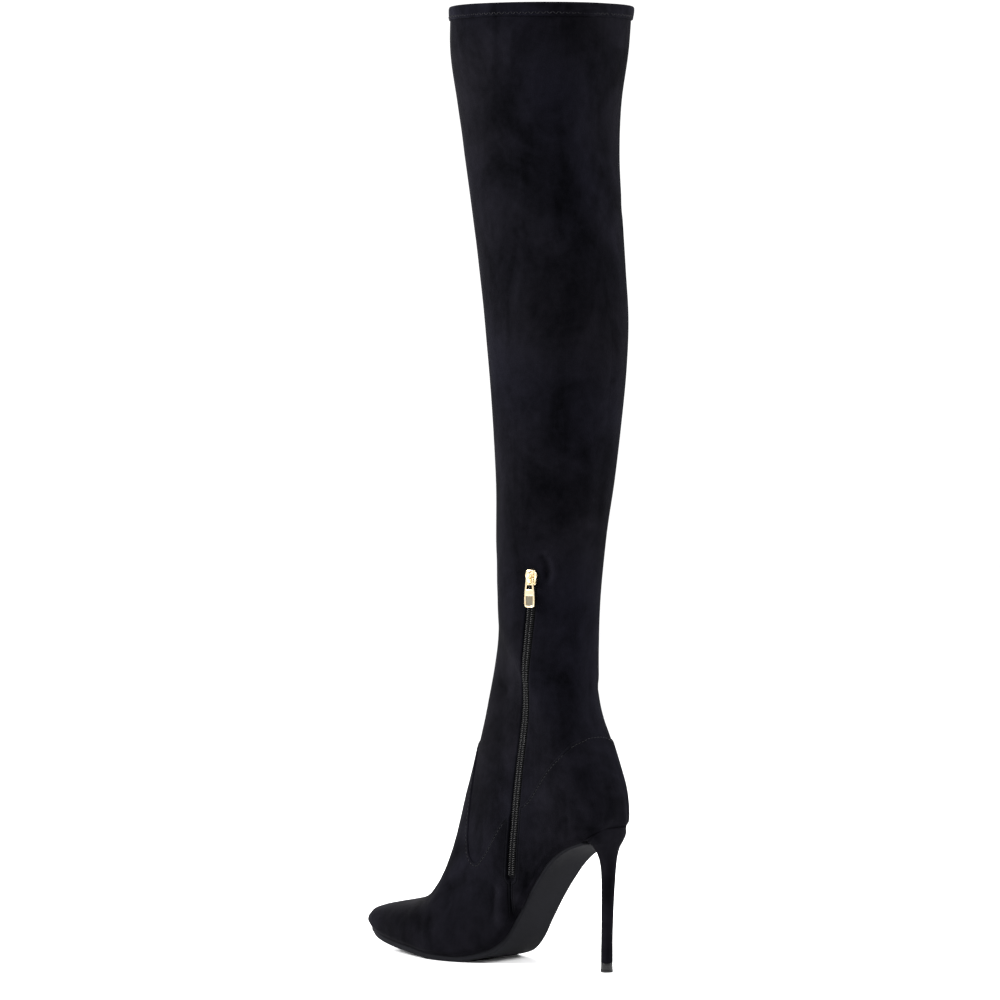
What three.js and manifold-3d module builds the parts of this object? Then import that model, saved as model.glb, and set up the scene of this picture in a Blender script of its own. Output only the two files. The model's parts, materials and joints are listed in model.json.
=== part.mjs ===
// Thigh high stretch boot on a stiletto heel, for the right foot.
// Millimetres. +X runs from heel to toe, +Y to the inner side of the leg, +Z up.
// The boot is drawn from the middle of the heel tip and moved at the end,
// so that the origin lies at the middle of its lowest plane.

import * as THREE from 'three';
import { mergeVertices } from 'three/addons/utils/BufferGeometryUtils.js';
import Module from 'manifold-3d';

const wasm = await Module();
wasm.setup();

// Driving sizes of the last and the leg
const footLength = 215;
const heelOverhang = 10.5;
const heelHeight = 86;
const instepHeight = 164;
const shaftLength = 378;
const ballWidth = 70;
const ankleWidth = 60;
const collarWidth = 117;
const collarDepth = 122.5;

// Driving sizes of the materials. surplus is how far a cutting form passes what it cuts.
const upperWall = 1.7;
const overlayThickness = 1.1;
const bindingHeight = 10;
const soleThickness = 3.9;
const shankThickness = 2.2;
const insoleThickness = 2;
const lastingMargin = 8;
const clearance = 0.3;
const surplus = 5;

// Driving sizes of the heel
const heelTipDiameter = 8;
const heelTipHeight = 6;
const heelStemDiameter = 7.6;
const heelTopWidth = 0.571 * ballWidth;

// Driving sizes of the zip
const zipSlotWidth = 6.4;
const zipChainWidth = 5.4;
const zipTapeWidth = 15;
const zipTapeThickness = 0.7;
const zipTapeEnd = 3;
const zipChainProud = 0.25;
const sliderLength = 9.5;
const sliderWidth = 7.4;
const sliderPlate = 1.5;
const bridgeThickness = 1.8;
const bridgeLength = 6.4;
const bridgeHeight = 3.2;
const pullLength = 19;
const pullWidth = 6.4;
const pullThickness = 1.1;
const pullBarDiameter = 1.1;

// Sections of the upper from toe to collar. Each lies in a plane from a point on the
// front line (top) to a point on the sole or back line (low). frontX and lowX are shares
// of the foot length from the back of the heel. pitch is a share of the heel height,
// frontRise and lowRise are shares of the instep height. inner and outer are the largest
// half widths and seatIn and seatOut the half widths at the low end, as shares of the ball
// width. widest says where the section is widest, crown and tail how square its ends are.
const footSections = [
  { frontX: 0.993, lowX: 0.988, pitch: 0.166, frontRise: 0.052, lowRise: 0, inner: 0.061, outer: 0.061,
    seatIn: 0.051, seatOut: 0.051, swing: 0.057, widest: 0.55, crown: 2, tail: 2.2 },
  { frontX: 0.977, lowX: 0.967, pitch: 0.144, frontRise: 0.082, lowRise: 0, inner: 0.106, outer: 0.106,
    seatIn: 0.091, seatOut: 0.091, swing: 0.057, widest: 0.58, crown: 2, tail: 2.2 },
  { frontX: 0.942, lowX: 0.933, pitch: 0.126, frontRise: 0.109, lowRise: 0, inner: 0.169, outer: 0.171,
    seatIn: 0.153, seatOut: 0.157, swing: 0.051, widest: 0.60, crown: 2, tail: 2.3 },
  { frontX: 0.879, lowX: 0.870, pitch: 0.103, frontRise: 0.141, lowRise: 0, inner: 0.257, outer: 0.266,
    seatIn: 0.240, seatOut: 0.246, swing: 0.04, widest: 0.62, crown: 2, tail: 2.4 },
  { frontX: 0.814, lowX: 0.800, pitch: 0.086, frontRise: 0.167, lowRise: 0, inner: 0.343, outer: 0.357,
    seatIn: 0.323, seatOut: 0.334, swing: 0.026, widest: 0.64, crown: 2, tail: 2.4 },
  { frontX: 0.756, lowX: 0.733, pitch: 0.07, frontRise: 0.195, lowRise: 0, inner: 0.409, outer: 0.434,
    seatIn: 0.386, seatOut: 0.409, swing: 0.011, widest: 0.66, crown: 2, tail: 2.4 },
  { frontX: 0.714, lowX: 0.670, pitch: 0.048, frontRise: 0.240, lowRise: 0, inner: 0.451, outer: 0.494,
    seatIn: 0.426, seatOut: 0.463, swing: 0, widest: 0.68, crown: 1.9, tail: 2.4 },
  { frontX: 0.684, lowX: 0.609, pitch: 0.044, frontRise: 0.294, lowRise: 0, inner: 0.469, outer: 0.517,
    seatIn: 0.434, seatOut: 0.480, swing: 0, widest: 0.70, crown: 1.8, tail: 2.4 },
  { frontX: 0.662, lowX: 0.547, pitch: 0.044, frontRise: 0.358, lowRise: 0, inner: 0.454, outer: 0.509,
    seatIn: 0.403, seatOut: 0.460, swing: 0, widest: 0.71, crown: 1.75, tail: 2.3 },
  { frontX: 0.646, lowX: 0.486, pitch: 0.074, frontRise: 0.418, lowRise: 0, inner: 0.417, outer: 0.474,
    seatIn: 0.349, seatOut: 0.409, swing: 0, widest: 0.71, crown: 1.7, tail: 2.3 },
  { frontX: 0.633, lowX: 0.433, pitch: 0.12, frontRise: 0.462, lowRise: 0, inner: 0.380, outer: 0.431,
    seatIn: 0.297, seatOut: 0.351, swing: 0, widest: 0.70, crown: 1.7, tail: 2.3 },
  { frontX: 0.620, lowX: 0.386, pitch: 0.209, frontRise: 0.488, lowRise: 0, inner: 0.349, outer: 0.391,
    seatIn: 0.260, seatOut: 0.309, swing: 0, widest: 0.69, crown: 1.7, tail: 2.3 },
  { frontX: 0.605, lowX: 0.344, pitch: 0.355, frontRise: 0.485, lowRise: 0, inner: 0.334, outer: 0.366,
    seatIn: 0.246, seatOut: 0.286, swing: 0, widest: 0.68, crown: 1.7, tail: 2.3 },
  { frontX: 0.585, lowX: 0.302, pitch: 0.517, frontRise: 0.473, lowRise: 0, inner: 0.331, outer: 0.354,
    seatIn: 0.249, seatOut: 0.280, swing: 0, widest: 0.67, crown: 1.75, tail: 2.3 },
  { frontX: 0.563, lowX: 0.256, pitch: 0.674, frontRise: 0.476, lowRise: 0, inner: 0.337, outer: 0.351,
    seatIn: 0.260, seatOut: 0.280, swing: 0, widest: 0.65, crown: 1.8, tail: 2.3 },
  { frontX: 0.540, lowX: 0.202, pitch: 0.826, frontRise: 0.485, lowRise: 0, inner: 0.346, outer: 0.354,
    seatIn: 0.271, seatOut: 0.283, swing: 0, widest: 0.63, crown: 1.9, tail: 2.3 },
  { frontX: 0.519, lowX: 0.140, pitch: 0.93, frontRise: 0.515, lowRise: 0, inner: 0.351, outer: 0.357,
    seatIn: 0.277, seatOut: 0.283, swing: 0, widest: 0.61, crown: 2, tail: 2.2 },
  { frontX: 0.505, lowX: 0.084, pitch: 0.983, frontRise: 0.564, lowRise: 0, inner: 0.356, outer: 0.357,
    seatIn: 0.263, seatOut: 0.266, swing: 0, widest: 0.60, crown: 2, tail: 2.1 },
  { frontX: 0.493, lowX: 0.044, pitch: 1, frontRise: 0.622, lowRise: 0.015, inner: 0.357, outer: 0.357,
    seatIn: 0.214, seatOut: 0.214, swing: 0, widest: 0.60, crown: 2, tail: 2 },
  { frontX: 0.484, lowX: 0.014, pitch: 1, frontRise: 0.677, lowRise: 0.049, inner: 0.357, outer: 0.357,
    seatIn: 0.137, seatOut: 0.137, swing: 0, widest: 0.60, crown: 2, tail: 2 },
  { frontX: 0.477, lowX: 0.001, pitch: 1, frontRise: 0.726, lowRise: 0.101, inner: 0.357, outer: 0.357,
    seatIn: 0.071, seatOut: 0.071, swing: 0, widest: 0.60, crown: 2, tail: 2 },
  { frontX: 0.471, lowX: 0.003, pitch: 1, frontRise: 0.768, lowRise: 0.162, inner: 0.360, outer: 0.360,
    seatIn: 0.040, seatOut: 0.040, swing: 0, widest: 0.59, crown: 2, tail: 2 },
  { frontX: 0.466, lowX: 0.020, pitch: 1, frontRise: 0.811, lowRise: 0.22, inner: 0.366, outer: 0.366,
    seatIn: 0.030, seatOut: 0.030, swing: 0, widest: 0.58, crown: 2, tail: 2 },
  { frontX: 0.462, lowX: 0.049, pitch: 1, frontRise: 0.854, lowRise: 0.302, inner: 0.374, outer: 0.374,
    seatIn: 0.030, seatOut: 0.030, swing: 0, widest: 0.57, crown: 2, tail: 2 },
  { frontX: 0.459, lowX: 0.086, pitch: 1, frontRise: 0.896, lowRise: 0.39, inner: 0.386, outer: 0.386,
    seatIn: 0.030, seatOut: 0.030, swing: 0, widest: 0.55, crown: 2, tail: 2 },
  { frontX: 0.456, lowX: 0.112, pitch: 1, frontRise: 0.939, lowRise: 0.488, inner: 0.397, outer: 0.397,
    seatIn: 0.030, seatOut: 0.030, swing: 0, widest: 0.53, crown: 2, tail: 2 },
  { frontX: 0.454, lowX: 0.120, pitch: 1, frontRise: 0.982, lowRise: 0.616, inner: 0.407, outer: 0.407,
    seatIn: 0.030, seatOut: 0.030, swing: 0, widest: 0.52, crown: 2, tail: 2 },
  { frontX: 0.453, lowX: 0.121, pitch: 1, frontRise: 1.030, lowRise: 0.762, inner: 0.419, outer: 0.419,
    seatIn: 0.030, seatOut: 0.030, swing: 0, widest: 0.51, crown: 2, tail: 2 },
];

// Level sections of the shaft from above the ankle to the collar. rise is a share of the
// shaft length. back and front are shares of the collar depth from the line over the heel
// tip. half is a half width, a share of the half collar width.
const shaftSections = [
  { rise: 0.070, back: 0.088, front: 0.705, half: 0.552 },
  { rise: 0.180, back: 0.033, front: 0.696, half: 0.607 },
  { rise: 0.278, back: -0.008, front: 0.708, half: 0.658 },
  { rise: 0.370, back: -0.038, front: 0.730, half: 0.701 },
  { rise: 0.450, back: -0.046, front: 0.754, half: 0.738 },
  { rise: 0.542, back: -0.020, front: 0.789, half: 0.766 },
  { rise: 0.635, back: 0.008, front: 0.828, half: 0.790 },
  { rise: 0.741, back: 0.038, front: 0.877, half: 0.832 },
  { rise: 0.833, back: 0.035, front: 0.922, half: 0.892 },
  { rise: 0.926, back: -0.004, front: 0.962, half: 0.971 },
  { rise: 1.000, back: -0.024, front: 0.958, half: 0.985 },
];

// Seam of the foot piece in side view, from the top of the vamp down one side of the point
// of the shaft panel and up to the back of the ankle. x is a share of the foot length from
// the back of the heel, rise a share of the instep height from the heel seat.
const footSeam = [
  { x: 0.661, rise: 0.385 },
  { x: 0.561, rise: 0.378 },
  { x: 0.545, rise: 0.350 },
  { x: 0.539, rise: 0.260 },
  { x: 0.543, rise: 0.155 },
  { x: 0.542, rise: 0.040 },
  { x: 0.533, rise: -0.050 },
  { x: 0.514, rise: -0.105 },
  { x: 0.489, rise: -0.125 },
  { x: 0.458, rise: -0.090 },
  { x: 0.419, rise: -0.020 },
  { x: 0.373, rise: 0.055 },
  { x: 0.317, rise: 0.112 },
  { x: 0.272, rise: 0.142 },
  { x: 0.230, rise: 0.205 },
  { x: 0.184, rise: 0.280 },
  { x: 0.123, rise: 0.357 },
  { x: 0.072, rise: 0.440 },
  { x: -0.064, rise: 0.500 },
];
const seamVampCount = 13;

// Seam that parts the vamp from the counter, along the zip and down to the sole
const sideSeam = [
  { x: 0.317, rise: 0.112 },
  { x: 0.342, rise: -0.178 },
  { x: 0.345, rise: -0.550 },
];

// Middle line of the zip in side view, from its top end down to its foot.
// x is a share of the foot length from the back of the heel, rise a share of the instep
// height from the heel seat.
const zipLine = [
  { x: 0.226, rise: 1.080 },
  { x: 0.235, rise: 0.900 },
  { x: 0.246, rise: 0.777 },
  { x: 0.256, rise: 0.657 },
  { x: 0.265, rise: 0.539 },
  { x: 0.281, rise: 0.400 },
  { x: 0.293, rise: 0.300 },
  { x: 0.308, rise: 0.181 },
  { x: 0.321, rise: 0.061 },
  { x: 0.333, rise: -0.059 },
  { x: 0.342, rise: -0.178 },
];
const sliderRise = 1.035;

// Level sections of the stiletto. z is a share of the heel height. back and front are
// lengths from the line over the heel tip and half is a half width, all three as shares of
// the size named in of.
const stemRadius = heelStemDiameter / 2;
const heelTopHalf = heelTopWidth / 2;
const heelSections = [
  { z: 0.075, of: stemRadius, back: -1.08, front: 0.92, half: 1.00 },
  { z: 0.330, of: stemRadius, back: -1.18, front: 0.84, half: 1.00 },
  { z: 0.560, of: stemRadius, back: -1.45, front: 0.79, half: 1.08 },
  { z: 0.700, of: heelTopHalf, back: -0.320, front: 0.165, half: 0.235 },
  { z: 0.790, of: heelTopHalf, back: -0.350, front: 0.215, half: 0.300 },
  { z: 0.860, of: heelTopHalf, back: -0.370, front: 0.330, half: 0.430 },
  { z: 0.915, of: heelTopHalf, back: -0.385, front: 0.520, half: 0.590 },
  { z: 0.965, of: heelTopHalf, back: -0.400, front: 0.780, half: 0.760 },
  { z: 1.030, of: heelTopHalf, back: -0.440, front: 0.860, half: 0.890 },
  { z: 1.090, of: heelTopHalf, back: -0.500, front: 0.860, half: 0.950 },
];

// Finishes
function finish(color, roughness, metalness = 0) {
  return new THREE.MeshStandardMaterial({ color, roughness, metalness });
}
const suede = finish(0x0d0c0e, 0.95);
const suedeTrim = finish(0x0b0a0c, 0.95);
const soleRubber = finish(0x17171a, 0.55);
const insoleLining = finish(0x1b1a1c, 0.8);
const hardRubber = finish(0x0a0a0b, 0.35);
const zipTextile = finish(0x101012, 0.85);
const zipNylon = finish(0x26262a, 0.4);
const gold = finish(0xd8b36a, 0.25, 1);

// Helpers that turn geometry into solids and back
function toSolid(geometry) {
  const plain = geometry.index ? geometry.clone() : geometry;
  plain.deleteAttribute('normal');
  plain.deleteAttribute('uv');
  const merged = mergeVertices(plain, 1e-4);
  const solid = new wasm.Manifold(new wasm.Mesh({
    numProp: 3,
    vertProperties: new Float32Array(merged.attributes.position.array),
    triVerts: new Uint32Array(merged.index.array),
  }));
  return solid;
}

function toMesh(name, solid, material) {
  const data = solid.getMesh();
  const geometry = new THREE.BufferGeometry();
  geometry.setAttribute('position', new THREE.BufferAttribute(new Float32Array(data.vertProperties), 3));
  geometry.setIndex(new THREE.BufferAttribute(new Uint32Array(data.triVerts), 1));
  const mesh = new THREE.Mesh(geometry, material);
  mesh.name = name;
  return mesh;
}

// Closes a list of loops, each with as many points, into one skin with fans at both ends
function loftGeometry(loops, startPoint, endPoint) {
  const around = loops[0].length;
  const positions = [];
  for (const loop of loops) {
    for (const point of loop) {
      positions.push(point.x, point.y, point.z);
    }
  }
  const start = loops.length * around;
  positions.push(startPoint.x, startPoint.y, startPoint.z);
  positions.push(endPoint.x, endPoint.y, endPoint.z);
  const faces = [];
  for (let i = 0; i < loops.length - 1; i += 1) {
    for (let j = 0; j < around; j += 1) {
      const k = (j + 1) % around;
      const a = i * around + j;
      const b = i * around + k;
      const c = (i + 1) * around + k;
      const d = (i + 1) * around + j;
      faces.push(a, b, c, a, c, d);
    }
  }
  const last = (loops.length - 1) * around;
  for (let j = 0; j < around; j += 1) {
    const k = (j + 1) % around;
    faces.push(start, k, j);
    faces.push(start + 1, last + j, last + k);
  }
  const geometry = new THREE.BufferGeometry();
  geometry.setAttribute('position', new THREE.Float32BufferAttribute(positions, 3));
  geometry.setIndex(faces);
  return geometry;
}

function middleOf(loop) {
  const sum = new THREE.Vector3();
  for (const point of loop) {
    sum.add(point);
  }
  return sum.divideScalar(loop.length);
}

function loftSolid(loops, startPoint = middleOf(loops[0]), endPoint = middleOf(loops[loops.length - 1])) {
  const geometry = loftGeometry(loops, startPoint, endPoint);
  return toSolid(geometry);
}

// A solid with a side view outline, through the boot from one y to another
function sidePrism(outline, fromY, toY) {
  const shape = new THREE.Shape(outline.map((point) => new THREE.Vector2(point.x, point.z)));
  const geometry = new THREE.ExtrudeGeometry(shape, { depth: toY - fromY, bevelEnabled: false, steps: 1 });
  geometry.rotateX(Math.PI / 2);
  geometry.translate(0, toY, 0);
  return toSolid(geometry);
}

function boxSolid(low, high) {
  const size = high.clone().sub(low);
  const geometry = new THREE.BoxGeometry(size.x, size.y, size.z);
  geometry.translate((low.x + high.x) / 2, (low.y + high.y) / 2, (low.z + high.z) / 2);
  return toSolid(geometry);
}

// Places from the shares of the tables
const ankleHeight = heelHeight + instepHeight;
const collarHeight = ankleHeight + shaftLength;

function alongFoot(share) {
  return share * footLength - heelOverhang;
}

function aboveSeat(share) {
  return heelHeight + share * instepHeight;
}

function sidePoint(row) {
  return { x: alongFoot(row.x), z: aboveSeat(row.rise) };
}

// All sections in millimetres: front and low are points in side view
function footSection(row) {
  const base = row.pitch * heelHeight;
  return {
    front: new THREE.Vector2(alongFoot(row.frontX), base + row.frontRise * instepHeight),
    low: new THREE.Vector2(alongFoot(row.lowX), base + row.lowRise * instepHeight),
    inner: row.inner * ballWidth,
    outer: row.outer * ballWidth,
    seatIn: row.seatIn * ballWidth,
    seatOut: row.seatOut * ballWidth,
    swing: row.swing * ballWidth,
    widest: row.widest,
    crown: row.crown,
    tail: row.tail,
  };
}

const roundTail = 0.07;
const leastSeat = 0.15;
const ankleSection = {
  front: new THREE.Vector2(alongFoot(0.452), ankleHeight + 0.045 * shaftLength),
  low: new THREE.Vector2(alongFoot(0.115), ankleHeight - 0.026 * shaftLength),
  inner: ankleWidth / 2,
  outer: ankleWidth / 2,
  seatIn: roundTail * ankleWidth / 2,
  seatOut: roundTail * ankleWidth / 2,
  swing: 0,
  widest: 0.5,
  crown: 2,
  tail: 2,
};

function shaftSection(row) {
  const z = ankleHeight + row.rise * shaftLength;
  const half = row.half * collarWidth / 2;
  return {
    front: new THREE.Vector2(row.front * collarDepth, z),
    low: new THREE.Vector2(row.back * collarDepth, z),
    inner: half,
    outer: half,
    seatIn: roundTail * half,
    seatOut: roundTail * half,
    swing: 0,
    widest: 0.5,
    crown: 2,
    tail: 2,
  };
}

const footRows = footSections.map(footSection);
const sections = [...footRows, ankleSection, ...shaftSections.map(shaftSection)];

const stripBevel = 0.96;
const crownSteps = 6;
const tailSteps = 5;
const noseRows = 3;
const noseRound = 0.005;

// One half of a section, grown by an offset, as pairs of place along the section and width
function halfOutline(section, offset, side) {
  const half = (side > 0 ? section.inner : section.outer) + offset;
  const seat = Math.max((side > 0 ? section.seatIn : section.seatOut) + offset, leastSeat);
  const points = [];
  for (let i = 1; i <= crownSteps; i += 1) {
    const turn = (i / crownSteps) * Math.PI / 2;
    const place = section.widest * (1 - Math.cos(turn) ** (2 / section.crown));
    points.push({ place, width: half * Math.sin(turn) ** (2 / section.crown) });
  }
  for (let i = 1; i <= tailSteps; i += 1) {
    const turn = (i / tailSteps) * Math.PI / 2;
    const place = section.widest + (1 - section.widest) * Math.sin(turn) ** (2 / section.tail);
    points.push({ place, width: seat + (half - seat) * Math.max(Math.cos(turn), 0) ** (2 / section.tail) });
  }
  points.push({ place: 1, width: seat / 2 });
  return points;
}

// The whole loop of a section, grown by an offset, first point on the front line
function sectionLoop(section, offset, shift = 0) {
  const axis = section.low.clone().sub(section.front).normalize();
  const front = section.front.clone().addScaledVector(axis, -offset);
  const low = section.low.clone().addScaledVector(axis, offset);
  const at = (place, width) => new THREE.Vector3(
    front.x + (low.x - front.x) * place + shift,
    section.swing + width,
    front.y + (low.y - front.y) * place,
  );
  const innerSide = halfOutline(section, offset, 1).map((p) => at(p.place, p.width));
  const outerSide = halfOutline(section, offset, -1).map((p) => at(p.place, -p.width));
  return [at(0, 0), ...innerSide, at(1, 0), ...outerSide.reverse()];
}

// The boot's outer form grown by an offset. above lengthens it past the collar.
function bootForm(offset, above = 0) {
  const loops = sections.map((section, i) => {
    const noseShift = offset * Math.max(0, 1 - i / noseRows);
    return sectionLoop(section, offset, noseShift);
  });
  if (above > 0) {
    const top = loops[loops.length - 1];
    loops.push(top.map((point) => new THREE.Vector3(point.x, point.y, point.z + above)));
  }
  const nose = middleOf(loops[0]);
  nose.x += noseRound * footLength;
  return loftSolid(loops, nose);
}

// A strip under the foot, between two depths above the low line, row by row. nose lengthens
// it past the first row, in the line of the toe spring, and narrow draws that end in.
function underStrip(firstRow, lastRow, fromDepth, toDepth, widthAt, nose = 0, narrow = 1) {
  const stripLoop = (section, i, shift, share) => {
    const axis = section.front.clone().sub(section.low).normalize();
    const bottom = section.low.clone().addScaledVector(axis, fromDepth(i)).add(shift);
    const top = section.low.clone().addScaledVector(axis, toDepth(i)).add(shift);
    const corner = (point, y) => new THREE.Vector3(point.x, section.swing + y, point.y);
    const inner = widthAt(section.seatIn, i) * share;
    const outer = widthAt(section.seatOut, i) * share;
    return [
      corner(top, inner),
      corner(bottom, inner * stripBevel),
      corner(bottom, 0),
      corner(bottom, -outer * stripBevel),
      corner(top, -outer),
      corner(top, 0),
    ];
  };
  const loops = [];
  if (nose > 0) {
    const spring = sections[firstRow].low.clone().sub(sections[firstRow + 1].low).setLength(nose);
    loops.push(stripLoop(sections[firstRow], firstRow, spring, narrow));
  }
  for (let i = firstRow; i <= lastRow; i += 1) {
    loops.push(stripLoop(sections[i], i, new THREE.Vector2(), 1));
  }
  return loftSolid(loops);
}

// Common forms
const outerForm = bootForm(0);
const innerForm = bootForm(-upperWall, surplus);
const clearForm = bootForm(clearance, surplus);
const overlayForm = bootForm(clearance + overlayThickness, surplus);

// A band along the zip line in side view, on the inner side of the leg
const zipSteps = 22;
const zipFromY = 0.1 * ankleWidth;
const zipToY = ballWidth;
function zipBand(width, fromShare, toShare, extra) {
  const line = zipLine.map(sidePoint).map((point) => new THREE.Vector2(point.x, point.z));
  const curve = new THREE.SplineCurve(line);
  const left = [];
  const right = [];
  for (let i = 0; i <= zipSteps; i += 1) {
    const share = fromShare + (toShare - fromShare) * (i / zipSteps);
    const point = curve.getPoint(share);
    const along = curve.getTangent(share);
    if (i === 0) {
      point.addScaledVector(along, -extra);
    }
    if (i === zipSteps) {
      point.addScaledVector(along, extra);
    }
    left.push({ x: point.x - along.y * width / 2, z: point.y + along.x * width / 2 });
    right.push({ x: point.x + along.y * width / 2, z: point.y - along.x * width / 2 });
  }
  return sidePrism([...left, ...right.reverse()], zipFromY, zipToY);
}
const zipSlot = zipBand(zipSlotWidth, 0, 1, 0);
const zipSlotInOverlay = zipBand(zipSlotWidth + 2 * clearance, 0, 1, clearance);

// Upper: a hollow wall from the toe to the collar, open at the collar, under the foot
// inside the lasting margin, and along the zip
const heelSeatRow = 20;
const marginFirstRow = 2;
const leastOpening = 2;
function buildUpper() {
  const reach = upperWall + 4 * clearance;
  const halfOpening = (seat) => Math.max(seat - lastingMargin, leastOpening);
  const opening = underStrip(marginFirstRow, heelSeatRow, () => -upperWall, () => reach, halfOpening);
  return outerForm.subtract(innerForm).subtract(opening).subtract(zipSlot);
}

// Overlays of the foot: both lie on the upper's wall and end above the sole and the heel
const overlayLift = 0.5;
const underReach = 2 * soleThickness;
function underFoot(lift) {
  return underStrip(0, heelSeatRow + 1, () => -underReach, () => lift, () => ballWidth, underReach);
}

function footOverlay(outline) {
  const shell = overlayForm.subtract(clearForm);
  const side = sidePrism(outline, -ballWidth, ballWidth);
  return shell.intersect(side).subtract(underFoot(overlayLift)).subtract(zipSlotInOverlay);
}

const seamPoints = footSeam.map(sidePoint);
const pastToe = alongFoot(1.1);
const pastHeel = alongFoot(-0.1);
const underFloor = -0.15 * instepHeight;

function sideSeamLine(shift) {
  const points = sideSeam.map(sidePoint).map((point) => ({ x: point.x + shift, z: point.z }));
  points.push({ x: points[points.length - 1].x, z: underFloor });
  return points;
}

function buildVamp() {
  const seam = seamPoints.slice(0, seamVampCount - 1);
  const top = { x: pastToe, z: seam[0].z };
  return footOverlay([{ x: pastToe, z: underFloor }, top, ...seam, ...sideSeamLine(clearance)]);
}

function buildCounter() {
  const seam = seamPoints.slice(seamVampCount);
  const back = { x: pastHeel, z: seam[seam.length - 1].z };
  const side = sideSeamLine(-clearance).reverse();
  return footOverlay([...side, ...seam, back, { x: pastHeel, z: underFloor }]);
}

// Binding: the folded hem round the collar
function buildBinding() {
  const reach = collarDepth + collarWidth;
  const slab = boxSolid(
    new THREE.Vector3(-reach, -reach, collarHeight - bindingHeight),
    new THREE.Vector3(reach, reach, collarHeight),
  );
  return overlayForm.subtract(clearForm).intersect(slab);
}

// Sole: a thin strip under the foot, thinner in the shank, flat where it meets the floor
const soleEndRow = 17;
const forefootRow = 9;
const shankRow = 12;
function soleDepth(row) {
  const blend = THREE.MathUtils.clamp((row - forefootRow) / (shankRow - forefootRow), 0, 1);
  return THREE.MathUtils.lerp(soleThickness, shankThickness, blend);
}
const soleEdge = 0.4;
const soleNose = 2;
const soleNoseWidth = 0.7;
function soleStrip(growth) {
  return underStrip(
    0,
    soleEndRow,
    (i) => -clearance - soleDepth(i) - growth,
    () => (growth > 0 ? 0 : -clearance),
    (seat) => seat - soleEdge + growth,
    soleNose,
    soleNoseWidth,
  );
}
function buildSole() {
  const reach = 2 * footLength;
  const aboveFloor = boxSolid(new THREE.Vector3(-reach, -reach, 0), new THREE.Vector3(reach, reach, reach));
  return soleStrip(0).intersect(aboveFloor);
}

// Insole: a board inside the upper, on its lasted margin
const insoleFirstRow = 1;
function buildInsole() {
  const low = upperWall + clearance;
  const high = low + insoleThickness;
  const board = underStrip(insoleFirstRow, heelSeatRow, () => low, () => high, (seat) => seat + surplus);
  return board.intersect(bootForm(-upperWall - clearance, surplus));
}

// Heel: a slim stem that flares to the heel seat
const heelSteps = 20;
function heelLoop(row, z = row.z * heelHeight) {
  const middle = (row.back + row.front) / 2 * row.of;
  const reach = (row.front - row.back) / 2 * row.of;
  const loop = [];
  for (let i = 0; i < heelSteps; i += 1) {
    const turn = (i / heelSteps) * 2 * Math.PI;
    loop.push(new THREE.Vector3(middle + reach * Math.cos(turn), row.half * row.of * Math.sin(turn), z));
  }
  return loop;
}

function buildHeel() {
  const loops = heelSections.map((row) => heelLoop(row));
  loops[0] = heelLoop(heelSections[0], heelTipHeight + clearance);
  const overlayRoom = bootForm(overlayThickness + 2 * clearance, surplus)
    .subtract(underFoot(overlayLift - clearance));
  return loftSolid(loops).subtract(clearForm).subtract(soleStrip(clearance)).subtract(overlayRoom);
}

const tipChamfer = 0.4;
const tipSteps = 24;
function buildHeelTip() {
  const radius = heelTipDiameter / 2;
  const profile = [
    new THREE.Vector2(0, 0),
    new THREE.Vector2(radius - tipChamfer, 0),
    new THREE.Vector2(radius, tipChamfer),
    new THREE.Vector2(radius, heelTipHeight),
    new THREE.Vector2(0, heelTipHeight),
  ];
  const geometry = new THREE.LatheGeometry(profile, tipSteps);
  geometry.rotateX(Math.PI / 2);
  const foot = heelSections[0];
  geometry.translate((foot.front + foot.back) / 2 * foot.of, 0, 0);
  return toSolid(geometry);
}

// Zip: a tape behind the wall and a closed chain in the slot
function buildZipTape() {
  const outside = bootForm(-upperWall - clearance, surplus);
  const inside = bootForm(-upperWall - clearance - zipTapeThickness, surplus);
  return outside.subtract(inside).intersect(zipBand(zipTapeWidth, 0, 1, zipTapeEnd));
}

function buildZipChain() {
  const proud = bootForm(zipChainProud, surplus);
  return proud.subtract(innerForm).intersect(zipBand(zipChainWidth, 0, 1, -2 * clearance));
}

// Where the slider sits: the upper's surface under a point of the zip line
const sliderShare = 0.25;
const probeStep = 4;
function surfaceFrame() {
  const skin = toMesh('skin', outerForm, suede);
  skin.geometry.computeVertexNormals();
  skin.material = new THREE.MeshBasicMaterial({ side: THREE.DoubleSide });
  const ray = new THREE.Raycaster();
  const hit = (x, z) => {
    ray.set(new THREE.Vector3(x, 3 * ballWidth, z), new THREE.Vector3(0, -1, 0));
    return ray.intersectObject(skin)[0].point;
  };
  const z = aboveSeat(sliderRise);
  const x = alongFoot(zipLine[0].x + (zipLine[1].x - zipLine[0].x) * sliderShare);
  const alongX = hit(x + probeStep, z).sub(hit(x - probeStep, z));
  const alongZ = hit(x, z + probeStep).sub(hit(x, z - probeStep));
  const normal = new THREE.Vector3().crossVectors(alongZ, alongX).normalize();
  const across = new THREE.Vector3().crossVectors(new THREE.Vector3(0, 0, 1), normal).normalize();
  const up = new THREE.Vector3().crossVectors(normal, across);
  return { place: hit(x, z), across, up, normal };
}
const sliderSeat = zipChainProud + 0.4;
const sliderTop = sliderSeat + sliderPlate;
const bridgeRoot = 0.4;
const pivotHeight = sliderTop + bridgeHeight / 2 - 0.15;

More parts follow.
